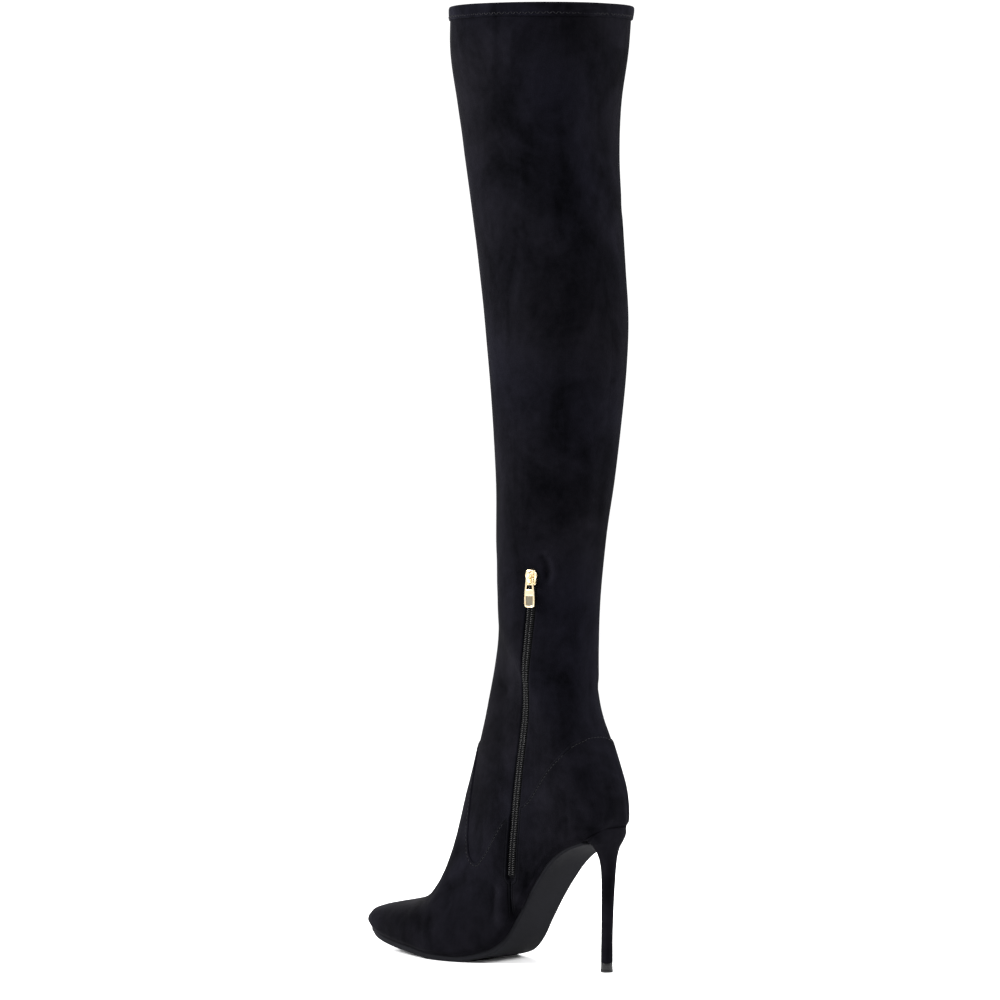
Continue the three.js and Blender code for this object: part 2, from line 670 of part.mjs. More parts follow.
// Shares of the slider's half width at its foot, its waist and its shoulder
const sliderFoot = 0.74;
const sliderWaist = 0.82;
const shoulderRound = 0.55;
const shoulderPlace = 0.45;
const waistPlace = 0.2;
function sliderShape() {
  const half = sliderWidth / 2;
  const end = sliderLength / 2;
  const shape = new THREE.Shape();
  const round = half * shoulderRound;
  const shoulder = half - round;
  const high = end * shoulderPlace;
  shape.moveTo(-half * sliderFoot, -end);
  shape.lineTo(half * sliderFoot, -end);
  shape.lineTo(half * sliderWaist, -end * waistPlace);
  shape.lineTo(half, high);
  shape.absarc(shoulder, high, round, 0, Math.PI / 2, false);
  shape.absarc(-shoulder, high, round, Math.PI / 2, Math.PI, false);
  shape.lineTo(-half * sliderWaist, -end * waistPlace);
  shape.closePath();
  return shape;
}

// Shares of the bridge: height of its round corners, their radius and its eye's half length
const bridgeCorner = 0.6;
const bridgeRound = 0.4;
const eyeShare = 0.28;
function buildSlider() {
  const plate = new THREE.ExtrudeGeometry(sliderShape(), {
    depth: sliderPlate, bevelEnabled: false, curveSegments: 5,
  });
  plate.translate(0, 0, sliderSeat);
  const arch = new THREE.Shape();
  const reach = bridgeLength / 2;
  const root = sliderTop - bridgeRoot;
  const round = reach * bridgeRound;
  const corner = sliderTop + bridgeHeight * bridgeCorner;
  arch.moveTo(-reach, root);
  arch.lineTo(-reach, corner);
  arch.absarc(round - reach, corner, round, Math.PI, Math.PI / 2, true);
  arch.absarc(reach - round, corner, round, Math.PI / 2, 0, true);
  arch.lineTo(reach, root);
  arch.closePath();
  const eye = new THREE.Path();
  const eyeReach = bridgeLength * eyeShare;
  const eyeHalf = pullBarDiameter / 2 + clearance;
  eye.moveTo(-eyeReach, pivotHeight - eyeHalf);
  eye.lineTo(eyeReach, pivotHeight - eyeHalf);
  eye.lineTo(eyeReach, pivotHeight + eyeHalf);
  eye.lineTo(-eyeReach, pivotHeight + eyeHalf);
  eye.closePath();
  arch.holes.push(eye);
  const bridge = new THREE.ExtrudeGeometry(arch, {
    depth: bridgeThickness, bevelEnabled: false, curveSegments: 4,
  });
  bridge.translate(0, 0, -bridgeThickness / 2);
  bridge.rotateX(Math.PI / 2);
  bridge.rotateZ(Math.PI / 2);
  return toSolid(plate).add(toSolid(bridge));
}

// Pull: a bar through the bridge, two arms and a tab, drawn hanging from the bar's middle.
// Each station gives how far below the bar it is, as a share of the pull's length, and
// its half width, as a share of the pull's.
const barSteps = 12;
const armHalf = 0.8;
const pullStations = [
  { down: 0.55, half: 0.72 },
  { down: 0.68, half: 1 },
  { down: 0.95, half: 1 },
  { down: 1, half: 0.69 },
];
const pullBlock = { width: 0.86, length: 0.26, middle: 0.83, thick: 1.5 };
function buildPull() {
  const barRadius = pullBarDiameter / 2;
  const bar = new THREE.CylinderGeometry(barRadius, barRadius, pullWidth * armHalf, barSteps);
  bar.rotateZ(Math.PI / 2);
  const armGap = bridgeThickness / 2 + 0.5;
  const half = pullWidth / 2;
  const frameEnd = bridgeLength / 2 + bridgeThickness - 0.4;
  const stations = pullStations.map((row) => ({ x: half * row.half, y: -pullLength * row.down }));
  const outline = new THREE.Shape();
  outline.moveTo(-half * armHalf, barRadius);
  outline.lineTo(-half * armHalf, -frameEnd);
  for (const station of stations) {
    outline.lineTo(-station.x, station.y);
  }
  for (const station of [...stations].reverse()) {
    outline.lineTo(station.x, station.y);
  }
  outline.lineTo(half * armHalf, -frameEnd);
  outline.lineTo(half * armHalf, barRadius);
  outline.lineTo(armGap, barRadius);
  outline.lineTo(armGap, -frameEnd);
  outline.lineTo(-armGap, -frameEnd);
  outline.lineTo(-armGap, barRadius);
  outline.closePath();
  const tab = new THREE.ExtrudeGeometry(outline, { depth: pullThickness, bevelEnabled: false });
  tab.translate(0, 0, -pullThickness / 2);
  const endBlock = new THREE.BoxGeometry(
    pullWidth * pullBlock.width,
    pullLength * pullBlock.length,
    pullThickness * pullBlock.thick,
  );
  endBlock.translate(0, -pullLength * pullBlock.middle, 0);
  return toSolid(bar).add(toSolid(tab)).add(toSolid(endBlock));
}

const boot = new THREE.Group();
boot.add(toMesh('upper', buildUpper(), suede));
boot.add(toMesh('vamp_overlay', buildVamp(), suede));
boot.add(toMesh('counter_overlay', buildCounter(), suede));
boot.add(toMesh('collar_binding', buildBinding(), suedeTrim));
boot.add(toMesh('sole', buildSole(), soleRubber));
boot.add(toMesh('insole', buildInsole(), insoleLining));
boot.add(toMesh('heel', buildHeel(), suede));
boot.add(toMesh('heel_tip', buildHeelTip(), hardRubber));
boot.add(toMesh('zip_tape', buildZipTape(), zipTextile));
boot.add(toMesh('zip_chain', buildZipChain(), zipNylon));

// The slider stands on the surface, and the pull hangs plumb from its bridge
const seatFrame = surfaceFrame();
const sliderGroup = new THREE.Group();
const basis = new THREE.Matrix4().makeBasis(seatFrame.across, seatFrame.up, seatFrame.normal);
sliderGroup.quaternion.setFromRotationMatrix(basis);
sliderGroup.position.copy(seatFrame.place);
sliderGroup.add(toMesh('zip_slider', buildSlider(), gold));
const pullGroup = new THREE.Group();
pullGroup.position.set(0, 0, pivotHeight);
pullGroup.rotation.x = Math.asin(seatFrame.normal.z);
pullGroup.add(toMesh('zip_pull', buildPull(), gold));
sliderGroup.add(pullGroup);
boot.add(sliderGroup);

// Origin at the middle of the lowest plane
const bounds = new THREE.Box3().setFromObject(boot);
const centre = bounds.getCenter(new THREE.Vector3());
boot.position.set(-centre.x, -centre.y, -bounds.min.z);

const model = new THREE.Group();
model.add(boot);

export default model;
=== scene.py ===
"""Looks of a thigh high stretch boot on a stiletto heel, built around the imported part.

Metres, in the part's own frame: X runs from heel to toe, Y to the inner side of the leg, Z up.
The upper, the foot's overlays, the hem, the sole, the heel and the zip are numpy surfaces drawn
over one last, which is the same row of sections that the solids have.
"""

import json  # noqa: E402
import logging  # noqa: E402
import math  # noqa: E402
from dataclasses import dataclass, field  # noqa: E402
from enum import Enum  # noqa: E402
from functools import cached_property  # noqa: E402
from typing import Sequence  # noqa: E402

import bpy  # noqa: E402
import numpy as np  # noqa: E402
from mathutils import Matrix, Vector  # noqa: E402


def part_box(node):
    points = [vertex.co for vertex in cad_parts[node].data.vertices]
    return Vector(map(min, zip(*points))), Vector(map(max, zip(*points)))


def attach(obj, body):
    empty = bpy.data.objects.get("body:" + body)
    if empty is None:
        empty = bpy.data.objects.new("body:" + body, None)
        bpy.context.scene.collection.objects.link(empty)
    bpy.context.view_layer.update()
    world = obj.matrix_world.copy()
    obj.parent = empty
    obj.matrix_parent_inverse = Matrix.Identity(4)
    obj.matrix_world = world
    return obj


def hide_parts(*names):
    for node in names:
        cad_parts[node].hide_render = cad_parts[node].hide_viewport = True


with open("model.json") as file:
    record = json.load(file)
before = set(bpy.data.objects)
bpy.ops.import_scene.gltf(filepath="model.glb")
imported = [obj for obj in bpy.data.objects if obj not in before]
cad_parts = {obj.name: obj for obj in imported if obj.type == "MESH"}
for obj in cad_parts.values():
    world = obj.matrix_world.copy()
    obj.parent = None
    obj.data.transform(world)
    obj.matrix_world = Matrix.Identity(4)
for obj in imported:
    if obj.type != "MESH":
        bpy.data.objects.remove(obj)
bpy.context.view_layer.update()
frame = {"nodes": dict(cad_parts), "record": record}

log = logging.getLogger("boot")
Array = np.ndarray
Colour = tuple[float, float, float]
Pairs = Sequence[tuple[float, float]]
Node, Socket, Tree = bpy.types.Node, bpy.types.NodeSocket, bpy.types.NodeTree
MM = 0.001

# Sections of the foot from toe to ankle. Each lies in a plane from a point on the front line
# to a point on the sole or back line. Columns: front x and low x as shares of the foot length
# from the back of the heel; pitch as a share of the heel height; front rise and low rise as
# shares of the instep height; inner and outer half widths, the same at the seat, and the swing
# of the middle line, as shares of the ball width; where the section is widest; how square its
# top and its foot are.
FOOT_ROWS: tuple[tuple[float, ...], ...] = (
    (0.993, 0.988, 0.166, 0.052, 0, 0.061, 0.061, 0.051, 0.051, 0.057, 0.55, 2, 2.2),
    (0.977, 0.967, 0.144, 0.082, 0, 0.106, 0.106, 0.091, 0.091, 0.057, 0.58, 2, 2.2),
    (0.942, 0.933, 0.126, 0.109, 0, 0.169, 0.171, 0.153, 0.157, 0.051, 0.60, 2, 2.3),
    (0.879, 0.870, 0.103, 0.141, 0, 0.257, 0.266, 0.240, 0.246, 0.04, 0.62, 2, 2.4),
    (0.814, 0.800, 0.086, 0.167, 0, 0.343, 0.357, 0.323, 0.334, 0.026, 0.64, 2, 2.4),
    (0.756, 0.733, 0.07, 0.195, 0, 0.409, 0.434, 0.386, 0.409, 0.011, 0.66, 2, 2.4),
    (0.714, 0.670, 0.048, 0.240, 0, 0.451, 0.494, 0.426, 0.463, 0, 0.68, 1.9, 2.4),
    (0.684, 0.609, 0.044, 0.294, 0, 0.469, 0.517, 0.434, 0.480, 0, 0.70, 1.8, 2.4),
    (0.662, 0.547, 0.044, 0.358, 0, 0.454, 0.509, 0.403, 0.460, 0, 0.71, 1.75, 2.3),
    (0.646, 0.486, 0.074, 0.418, 0, 0.417, 0.474, 0.349, 0.409, 0, 0.71, 1.7, 2.3),
    (0.633, 0.433, 0.12, 0.462, 0, 0.380, 0.431, 0.297, 0.351, 0, 0.70, 1.7, 2.3),
    (0.620, 0.386, 0.209, 0.488, 0, 0.349, 0.391, 0.260, 0.309, 0, 0.69, 1.7, 2.3),
    (0.605, 0.344, 0.355, 0.485, 0, 0.334, 0.366, 0.246, 0.286, 0, 0.68, 1.7, 2.3),
    (0.585, 0.302, 0.517, 0.473, 0, 0.331, 0.354, 0.249, 0.280, 0, 0.67, 1.75, 2.3),
    (0.563, 0.256, 0.674, 0.476, 0, 0.337, 0.351, 0.260, 0.280, 0, 0.65, 1.8, 2.3),
    (0.540, 0.202, 0.826, 0.485, 0, 0.346, 0.354, 0.271, 0.283, 0, 0.63, 1.9, 2.3),
    (0.519, 0.140, 0.93, 0.515, 0, 0.351, 0.357, 0.277, 0.283, 0, 0.61, 2, 2.2),
    (0.505, 0.084, 0.983, 0.564, 0, 0.356, 0.357, 0.263, 0.266, 0, 0.60, 2, 2.1),
    (0.493, 0.044, 1, 0.622, 0.015, 0.357, 0.357, 0.214, 0.214, 0, 0.60, 2, 2),
    (0.484, 0.014, 1, 0.677, 0.049, 0.357, 0.357, 0.137, 0.137, 0, 0.60, 2, 2),
    (0.477, 0.001, 1, 0.726, 0.101, 0.357, 0.357, 0.071, 0.071, 0, 0.60, 2, 2),
    (0.471, 0.003, 1, 0.768, 0.162, 0.360, 0.360, 0.040, 0.040, 0, 0.59, 2, 2),
    (0.466, 0.020, 1, 0.811, 0.22, 0.366, 0.366, 0.030, 0.030, 0, 0.58, 2, 2),
    (0.462, 0.049, 1, 0.854, 0.302, 0.374, 0.374, 0.030, 0.030, 0, 0.57, 2, 2),
    (0.459, 0.086, 1, 0.896, 0.39, 0.386, 0.386, 0.030, 0.030, 0, 0.55, 2, 2),
    (0.456, 0.112, 1, 0.939, 0.488, 0.397, 0.397, 0.030, 0.030, 0, 0.53, 2, 2),
    (0.454, 0.120, 1, 0.982, 0.616, 0.407, 0.407, 0.030, 0.030, 0, 0.52, 2, 2),
    (0.453, 0.121, 1, 1.030, 0.762, 0.419, 0.419, 0.030, 0.030, 0, 0.51, 2, 2),
)

# Level sections of the shaft. Columns: rise as a share of the shaft length; back and front as
# shares of the collar depth from the line over the heel tip; half width as a share of half the
# collar width.
SHAFT_ROWS: tuple[tuple[float, ...], ...] = (
    (0.070, 0.088, 0.705, 0.552),
    (0.180, 0.033, 0.696, 0.607),
    (0.278, -0.008, 0.708, 0.658),
    (0.370, -0.038, 0.730, 0.701),
    (0.450, -0.046, 0.754, 0.738),
    (0.542, -0.020, 0.789, 0.766),
    (0.635, 0.008, 0.828, 0.790),
    (0.741, 0.038, 0.877, 0.832),
    (0.833, 0.035, 0.922, 0.892),
    (0.926, -0.004, 0.962, 0.971),
    (1.000, -0.024, 0.958, 0.985),
)

# Seam of the foot piece in side view, from the tongue's top edge down one side of the shaft
# panel's point and up to the back of the ankle. Columns: x as a share of the foot length from
# the back of the heel, rise as a share of the instep height from the heel seat.
FOOT_SEAM: Pairs = (
    (0.661, 0.385), (0.561, 0.378), (0.545, 0.350), (0.539, 0.260), (0.543, 0.155),
    (0.542, 0.040), (0.533, -0.050), (0.514, -0.105), (0.489, -0.125), (0.458, -0.090),
    (0.419, -0.020), (0.373, 0.055), (0.317, 0.112), (0.272, 0.142), (0.230, 0.205),
    (0.184, 0.280), (0.123, 0.357), (0.072, 0.440), (-0.064, 0.500),
)
VAMP_SEAM_COUNT = 13

# Middle line of the zip in side view, from its top end down to its foot, in the same shares
ZIP_LINE: Pairs = (
    (0.226, 1.080), (0.238, 0.900), (0.252, 0.777), (0.266, 0.657), (0.275, 0.539),
    (0.288, 0.400), (0.298, 0.300), (0.310, 0.181), (0.321, 0.061), (0.333, -0.059),
    (0.342, -0.178),
)

# Level sections of the heel. Columns: height as a share of the heel height, then back, front
# and half width in millimetres from the line over the heel tip.
HEEL_ROWS: tuple[tuple[float, float, float, float], ...] = (
    (0.073, -4.10, 3.50, 3.80),
    (0.330, -4.48, 3.19, 3.80),
    (0.560, -5.51, 3.00, 4.00),
    (0.700, -6.40, 3.10, 4.30),
    (0.790, -7.00, 3.60, 4.80),
    (0.860, -7.50, 4.80, 5.90),
    (0.915, -8.00, 6.60, 7.80),
    (0.955, -8.50, 8.80, 10.60),
    (0.985, -8.90, 11.00, 14.00),
    (1.030, -9.30, 13.00, 17.40),
    (1.090, -9.40, 14.40, 18.60),
)

# Section at the ankle: front x as a share of the foot length, its rise over the ankle as a share
# of the shaft length, and the same for the low end
ANKLE_ROW = (0.452, 0.045, 0.115, -0.026)

# Swing, widest place, crown and tail of a section of the leg
ROUND = (0.0, 0.5, 2.0, 2.0)

# Edge of the skin beside the zip, folded in with a soft roll behind it. Millimetres from the
# zip's middle line, and offset in millimetres.
LIPS: Pairs = (
    (3.3, -1.6), (3.5, -0.9), (3.8, -0.25), (4.2, 0.10), (4.9, 0.30), (6.5, 0.15), (10.0, 0.0),
)

# Profile of the hem from its outer edge over the fold inwards: depth below the collar and
# outward offset in millimetres
HEM_PROFILE: Pairs = (
    (10.6, -0.30), (10.45, 0.45), (10.0, 0.85), (9.2, 0.95), (8.5, 0.78), (7.8, 0.98),
    (5.5, 1.20), (3.0, 1.25), (1.3, 1.10), (0.45, 0.70), (0.08, 0.10), (0.0, -0.60),
    (0.1, -1.30), (0.5, -1.90), (1.4, -2.35), (4.0, -2.50), (8.0, -2.50), (9.6, -2.30),
    (10.0, -1.90),
)

# Waves of the hem: height in metres, waves round the collar, and phase
HEM_WAVES = ((0.00012, 5, 0.7), (0.0001, 9, 2.1), (0.00006, 23, 1.0))

# Profile of the heel tip: radius and height in millimetres
TIP_PROFILE: Pairs = (
    (0.0, 0.0), (3.4, 0.0), (3.86, 0.05), (4.08, 0.22), (4.14, 0.55), (4.06, 1.8), (3.94, 2.0),
    (3.94, 2.15), (4.02, 2.35), (3.82, 5.5), (3.76, 5.85), (3.6, 6.0), (2.0, 6.1), (0.0, 6.1),
)

# Sections of the slider: place along the zip, half width and half thickness in millimetres
SLIDER_ROWS: tuple[tuple[float, float, float], ...] = (
    (-5.0, 1.9, 0.45), (-4.85, 2.6, 0.7), (-4.4, 2.95, 0.85), (-2.6, 3.1, 0.9),
    (-1.0, 3.45, 0.92), (0.6, 3.95, 0.95), (1.6, 4.1, 0.95), (2.8, 3.75, 0.93),
    (4.2, 3.15, 0.88), (5.0, 2.5, 0.78), (5.3, 1.5, 0.5),
)

# Middle line of the slider's bridge: place along the zip and height in millimetres
BRIDGE: Pairs = (
    (-3.6, 1.4), (-3.6, 2.7), (-3.3, 3.9), (-2.4, 4.75), (-1.1, 5.15), (0.0, 5.25),
    (1.2, 5.1), (2.6, 4.5), (3.5, 3.5), (3.9, 2.5), (4.0, 1.4),
)

# Plates of the pull: top, foot, half thickness and inset from the frame's middle, millimetres
PLATES = ((7.2, 11.6, 0.62, 0.2), (11.3, 18.0, 0.22, 0.3))

# Lamps: name, place, width in metres and power in watts
LAMPS = (
    ("key", (1.35, 2.10, 1.60), 1.2, 32.0),
    ("rim", (-1.85, -1.15, 1.50), 1.1, 15.0),
    ("front", (1.9, -1.7, 1.6), 1.4, 14.0),
)

# Distance in metres that stands for no seam nearby, and one that stands for no zip
NO_SEAM = 0.05
NO_ZIP = 1.0

# Height under the floor down to which outlines of the foot's pieces reach
BELOW = -0.05


class Side(Enum):
    """Side of the leg that a crease lies on."""

    INNER = 1
    OUTER = -1
    BOTH = 0


def ease(value: Array, low: float, high: float) -> Array:
    """Gives 0 below low, 1 above high, and 3t² − 2t³ between."""
    t = np.clip((value - low) / (high - low), 0.0, 1.0)
    return t * t * (3.0 - 2.0 * t)


def unit(vectors: Array) -> Array:
    """Gives the vectors at length one."""
    return vectors / np.maximum(np.linalg.norm(vectors, axis=-1, keepdims=True), 1e-12)


def dip(distance: Array, width: float) -> Array:
    """Gives exp(−(d/width)²)."""
    return np.exp(-((distance / width) ** 2))


def turns(count: int) -> Array:
    """Even angles round a circle."""
    return np.arange(count) / count * 2 * math.pi


def run_along(points: Array) -> Array:
    """Length of a row of points up to each of them."""
    return np.concatenate([[0.0], np.cumsum(np.linalg.norm(np.diff(points, axis=0), axis=1))])


@dataclass(frozen=True)
class Line:
    """A smooth line through rows of numbers, in cubic pieces.

    The slope at a knot is that of the parabola through it and its two neighbours.
    """

    knots: Array
    rows: Array

    @cached_property
    def slopes(self) -> Array:
        """Slope of every column at every knot."""
        gap = np.diff(self.knots)[:, None]
        rise = np.diff(self.rows, axis=0) / gap
        inside = (gap[1:] * rise[:-1] + gap[:-1] * rise[1:]) / (gap[1:] + gap[:-1])
        return np.vstack([rise[:1], inside, rise[-1:]])

    def at(self, place: Array) -> Array:
        """Rows of numbers at places along the line.

        Args:
            place: places on the scale of the knots, of shape (n,).

        Returns:
            Numbers of shape (n, columns).
        """
        i = np.clip(np.searchsorted(self.knots, place) - 1, 0, len(self.knots) - 2)
        gap = (self.knots[i + 1] - self.knots[i])[:, None]
        t = np.clip((place - self.knots[i])[:, None] / gap, 0.0, 1.0)
        a = (1 + 2 * t) * (1 - t) ** 2
        b = t * (1 - t) ** 2 * gap
        c = t * t * (3 - 2 * t)
        d = t * t * (t - 1) * gap
        return a * self.rows[i] + b * self.slopes[i] + c * self.rows[i + 1] + d * self.slopes[i + 1]


def through(points: Array, step: float, steps_a_knot: int = 40) -> Array:
    """Even points on the smooth line through a row of points.

    Args:
        points: points of shape (n, k).
        step: wanted spacing.
        steps_a_knot: fine steps at which the line is measured.

    Returns:
        Points of shape (m, k), evenly spaced along the line.
    """
    chord = run_along(points)
    fine = Line(chord, points).at(np.linspace(0.0, chord[-1], steps_a_knot * len(points)))
    run = run_along(fine)
    even = np.linspace(0.0, run[-1], max(2, int(round(run[-1] / step)) + 1))
    return np.stack([np.interp(even, run, column) for column in fine.T], axis=1)


def from_line(points: Array, line: Array) -> tuple[Array, Array]:
    """Distance of points in a plane from a line of straight pieces.

    For every piece the nearest point is the foot of the perpendicular, held between its ends.

    Args:
        points: points of shape (n, 2).
        line: corners of shape (m, 2).

    Returns:
        The distances, and the share of the line at which the nearest point lies.
    """
    best = np.full(len(points), np.inf)
    share = np.zeros(len(points))
    before = run_along(line)
    length = np.diff(before)
    for k in range(len(line) - 1):
        along = (line[k + 1] - line[k]) / max(length[k], 1e-9)
        reach = np.clip((points - line[k]) @ along, 0.0, length[k])
        gap = np.linalg.norm(points - line[k] - reach[:, None] * along, axis=1)
        nearer = gap < best
        best = np.where(nearer, gap, best)
        share = np.where(nearer, (before[k] + reach) / before[-1], share)
    return best, share


def inside(points: Array, outline: Array) -> Array:
    """Tells which points of a plane lie inside a closed outline.

    A point is inside where a level ray from it crosses the outline an odd number of times.

    Args:
        points: points (x, z) of shape (n, 2).
        outline: corners of the outline, of shape (m, 2).

    Returns:
        Truth values of shape (n,).
    """
    x, z = points[:, 0], points[:, 1]
    odd = np.zeros(len(points), dtype=bool)
    for (x0, z0), (x1, z1) in zip(outline, np.roll(outline, -1, axis=0)):
        if z0 == z1:
            continue
        crosses = ((z0 > z) != (z1 > z)) & (x < (x1 - x0) * (z - z0) / (z1 - z0) + x0)
        odd ^= crosses
    return odd


@dataclass(frozen=True)
class Last:
    """The foot and leg that the boot is drawn over.

    A place on it is (s, w): s is the run from toe to collar in metres, and w goes round the
    section from the low line (-1) over the outer side to the front line (0) and over the inner
    side to the low line (1). shift_x is where the line over the heel tip stands in the part.
    """

    foot_length: float = 0.215
    heel_overhang: float = 0.0105
    heel_height: float = 0.086
    instep_height: float = 0.164
    shaft_length: float = 0.378
    ball_width: float = 0.070
    ankle_width: float = 0.060
    collar_width: float = 0.117
    collar_depth: float = 0.1225
    shift_x: float = -0.09699
    nose_reach: float = 0.0022
    round_tail: float = 0.07
    least_seat: float = 0.00015
    crown_end: float = 0.5
    tail_end: float = 0.95

    @property
    def ankle_height(self) -> float:
        """Height of the ankle over the floor."""
        return self.heel_height + self.instep_height

    @property
    def collar_height(self) -> float:
        """Height of the collar over the floor."""
        return self.ankle_height + self.shaft_length

    def side_points(self, rows: Pairs) -> Array:
        """Points in side view (x, z) from rows of shares."""
        table = np.array(rows)
        x = table[:, 0] * self.foot_length - self.heel_overhang + self.shift_x
        return np.stack([x, self.heel_height + table[:, 1] * self.instep_height], axis=1)

    def from_tip(self, points: Pairs) -> Array:
        """Points in side view (x, z) from millimetres ahead of the heel tip and over the floor."""
        table = np.array(points) * MM
        return table + np.array([self.shift_x, 0.0])

    @cached_property
    def line(self) -> Line:
        """All section sizes against the run from toe to collar.

        Columns: front x, front z, low x, low z, inner, outer, seat in, seat out, swing, widest,
        crown, tail. The run between two sections is the mean of their gaps on the front line and
        on the low line.
        """
        foot = np.array(FOOT_ROWS)
        start = self.shift_x - self.heel_overhang
        base = foot[:, 2] * self.heel_height
        foot_rows = np.stack(
            [
                foot[:, 0] * self.foot_length + start,
                base + foot[:, 3] * self.instep_height,
                foot[:, 1] * self.foot_length + start,
                base + foot[:, 4] * self.instep_height,
                *(foot[:, k] * self.ball_width for k in range(5, 10)),
                *(foot[:, k] for k in range(10, 13)),
            ],
            axis=1,
        )
        half = self.ankle_width / 2
        front_x, front_rise, low_x, low_rise = ANKLE_ROW
        ankle = np.array(
            [
                front_x * self.foot_length + start,
                self.ankle_height + front_rise * self.shaft_length,
                low_x * self.foot_length + start,
                self.ankle_height + low_rise * self.shaft_length,
                half, half, self.round_tail * half, self.round_tail * half, *ROUND,
            ]
        )
        shaft = np.array(SHAFT_ROWS)
        z = self.ankle_height + shaft[:, 0] * self.shaft_length
        width = shaft[:, 3] * self.collar_width / 2
        shaft_rows = np.stack(
            [
                shaft[:, 2] * self.collar_depth + self.shift_x, z,
                shaft[:, 1] * self.collar_depth + self.shift_x, z,
                width, width, self.round_tail * width, self.round_tail * width,
                *(np.full_like(z, value) for value in ROUND),
            ],
            axis=1,
        )
        rows = np.vstack([foot_rows, ankle[None], shaft_rows])
        return Line((run_along(rows[:, 0:2]) + run_along(rows[:, 2:4])) / 2, rows)

    @property
    def length(self) -> float:
        """Run from the first section to the collar."""
        return float(self.line.knots[-1])

    def point(self, s: Array, w: Array, off: Array | float = 0.0) -> Array:
        """Points of the surface, grown outwards by an offset.

        Over the crown the width is half·sin(a)^(2/crown) at widest·(1 − cos(a)^(2/crown)) of the
        way down; over the tail it is seat + (half − seat)·cos(b)^(2/tail) at
        widest + (1 − widest)·sin(b)^(2/tail); from there it runs straight to the low line. Ahead
        of the first section a dome of cosines and sines closes the nose.

        Args:
            s: run from the first section, below 0 in the dome, of shape (n,).
            w: place round the section, of shape (n,).
            off: outward offset in metres.

        Returns:
            Points of shape (n, 3).
        """
        turn = np.clip(-s / self.nose_reach, 0.0, 1.0) * math.pi / 2
        rows = self.line.at(np.maximum(s, 0.0))
        front, low = rows[:, 0:2], rows[:, 2:4]
        axis = unit(low - front)
        off = np.broadcast_to(np.asarray(off, dtype=float), s.shape)
        front = front - axis * off[:, None]
        low = low + axis * off[:, None]
        inner = w >= 0
        half = np.where(inner, rows[:, 4], rows[:, 5]) + off
        seat = np.maximum(np.where(inner, rows[:, 6], rows[:, 7]) + off, self.least_seat)
        widest, crown, tail = rows[:, 9], rows[:, 10], rows[:, 11]
        m = np.abs(w)
        a = np.clip(m / self.crown_end, 0.0, 1.0) * math.pi / 2
        b = np.clip((m - self.crown_end) / (self.tail_end - self.crown_end), 0.0, 1.0) * math.pi / 2
        flat = np.clip((m - self.tail_end) / (1.0 - self.tail_end), 0.0, 1.0)
        cos_a, cos_b = np.maximum(np.cos(a), 0.0), np.maximum(np.cos(b), 0.0)
        place = widest * (1 - cos_a ** (2 / crown)) + (1 - widest) * np.sin(b) ** (2 / tail)
        over_tail = (seat + (half - seat) * cos_b ** (2 / tail)) * (1 - flat)
        width = np.where(m < self.crown_end, half * np.sin(a) ** (2 / crown), over_tail)
        nose = off * np.clip(1 - s / self.line.knots[3], 0.0, 1.0)
        x = front[:, 0] + (low[:, 0] - front[:, 0]) * place + nose
        z = front[:, 1] + (low[:, 1] - front[:, 1]) * place
        y = rows[:, 8] + np.where(inner, width, -width)
        middle_x = (front[:, 0] + low[:, 0]) / 2 + nose
        middle_z = (front[:, 1] + low[:, 1]) / 2
        scale = np.cos(turn)
        x = middle_x + (x - middle_x) * scale + self.nose_reach * np.sin(turn)
        z = middle_z + (z - middle_z) * scale
        y = rows[:, 8] + (y - rows[:, 8]) * scale
        return np.stack([x, y, z], axis=1)

    def normal(self, s: Array, w: Array, off: Array | float = 0.0) -> Array:
        """Outward directions, from small steps along s and w."""
        step_s, step_w = 0.0006, 0.004
        s0, s1 = np.maximum(s - step_s, -0.002), np.minimum(s + step_s, self.length)
        w0, w1 = np.clip(w - step_w, -0.999, 0.999), np.clip(w + step_w, -0.999, 0.999)
        along = self.point(s1, w, off) - self.point(s0, w, off)
        around = self.point(s, w1, off) - self.point(s, w0, off)
        return unit(np.cross(around, along))

    def locate(self, side_view: Array, side: Side) -> tuple[Array, Array]:
        """Finds the places (s, w) that a side view shows at given points.

        The nearest place of a coarse net is bettered by eight damped Newton steps.

        Args:
            side_view: points (x, z) of shape (n, 2).
            side: the side of the leg that is looked at.

        Returns:
            Arrays s and w.
        """
        net_s = np.linspace(0.002, self.length, 300)
        net_w = np.linspace(0.03, 0.93, 60) * side.value
        grid_s, grid_w = (g.ravel() for g in np.meshgrid(net_s, net_w, indexing="ij"))
        net = self.point(grid_s, grid_w)[:, [0, 2]]
        nearest = np.argmin(((side_view[:, None] - net[None]) ** 2).sum(axis=2), axis=1)
        s, w = grid_s[nearest].copy(), grid_w[nearest].copy()
        step_s, step_w = 0.0004, 0.002
        for _ in range(8):
            here = self.point(s, w)[:, [0, 2]]
            by_s = (self.point(s + step_s, w)[:, [0, 2]] - here) / step_s
            by_w = (self.point(s, w + step_w)[:, [0, 2]] - here) / step_w
            gap = side_view - here
            det = by_s[:, 0] * by_w[:, 1] - by_s[:, 1] * by_w[:, 0]
            det = np.where(np.abs(det) < 1e-4, 1e9, det)
            move_s = (gap[:, 0] * by_w[:, 1] - gap[:, 1] * by_w[:, 0]) / det
            move_w = (by_s[:, 0] * gap[:, 1] - by_s[:, 1] * gap[:, 0]) / det
            s = np.clip(s + np.clip(move_s, -0.004, 0.004), 0.0, self.length)
            w = np.clip(np.abs(w) + np.clip(move_w, -0.05, 0.05) * side.value, 0.003, 0.99) * side.value
        return s, w

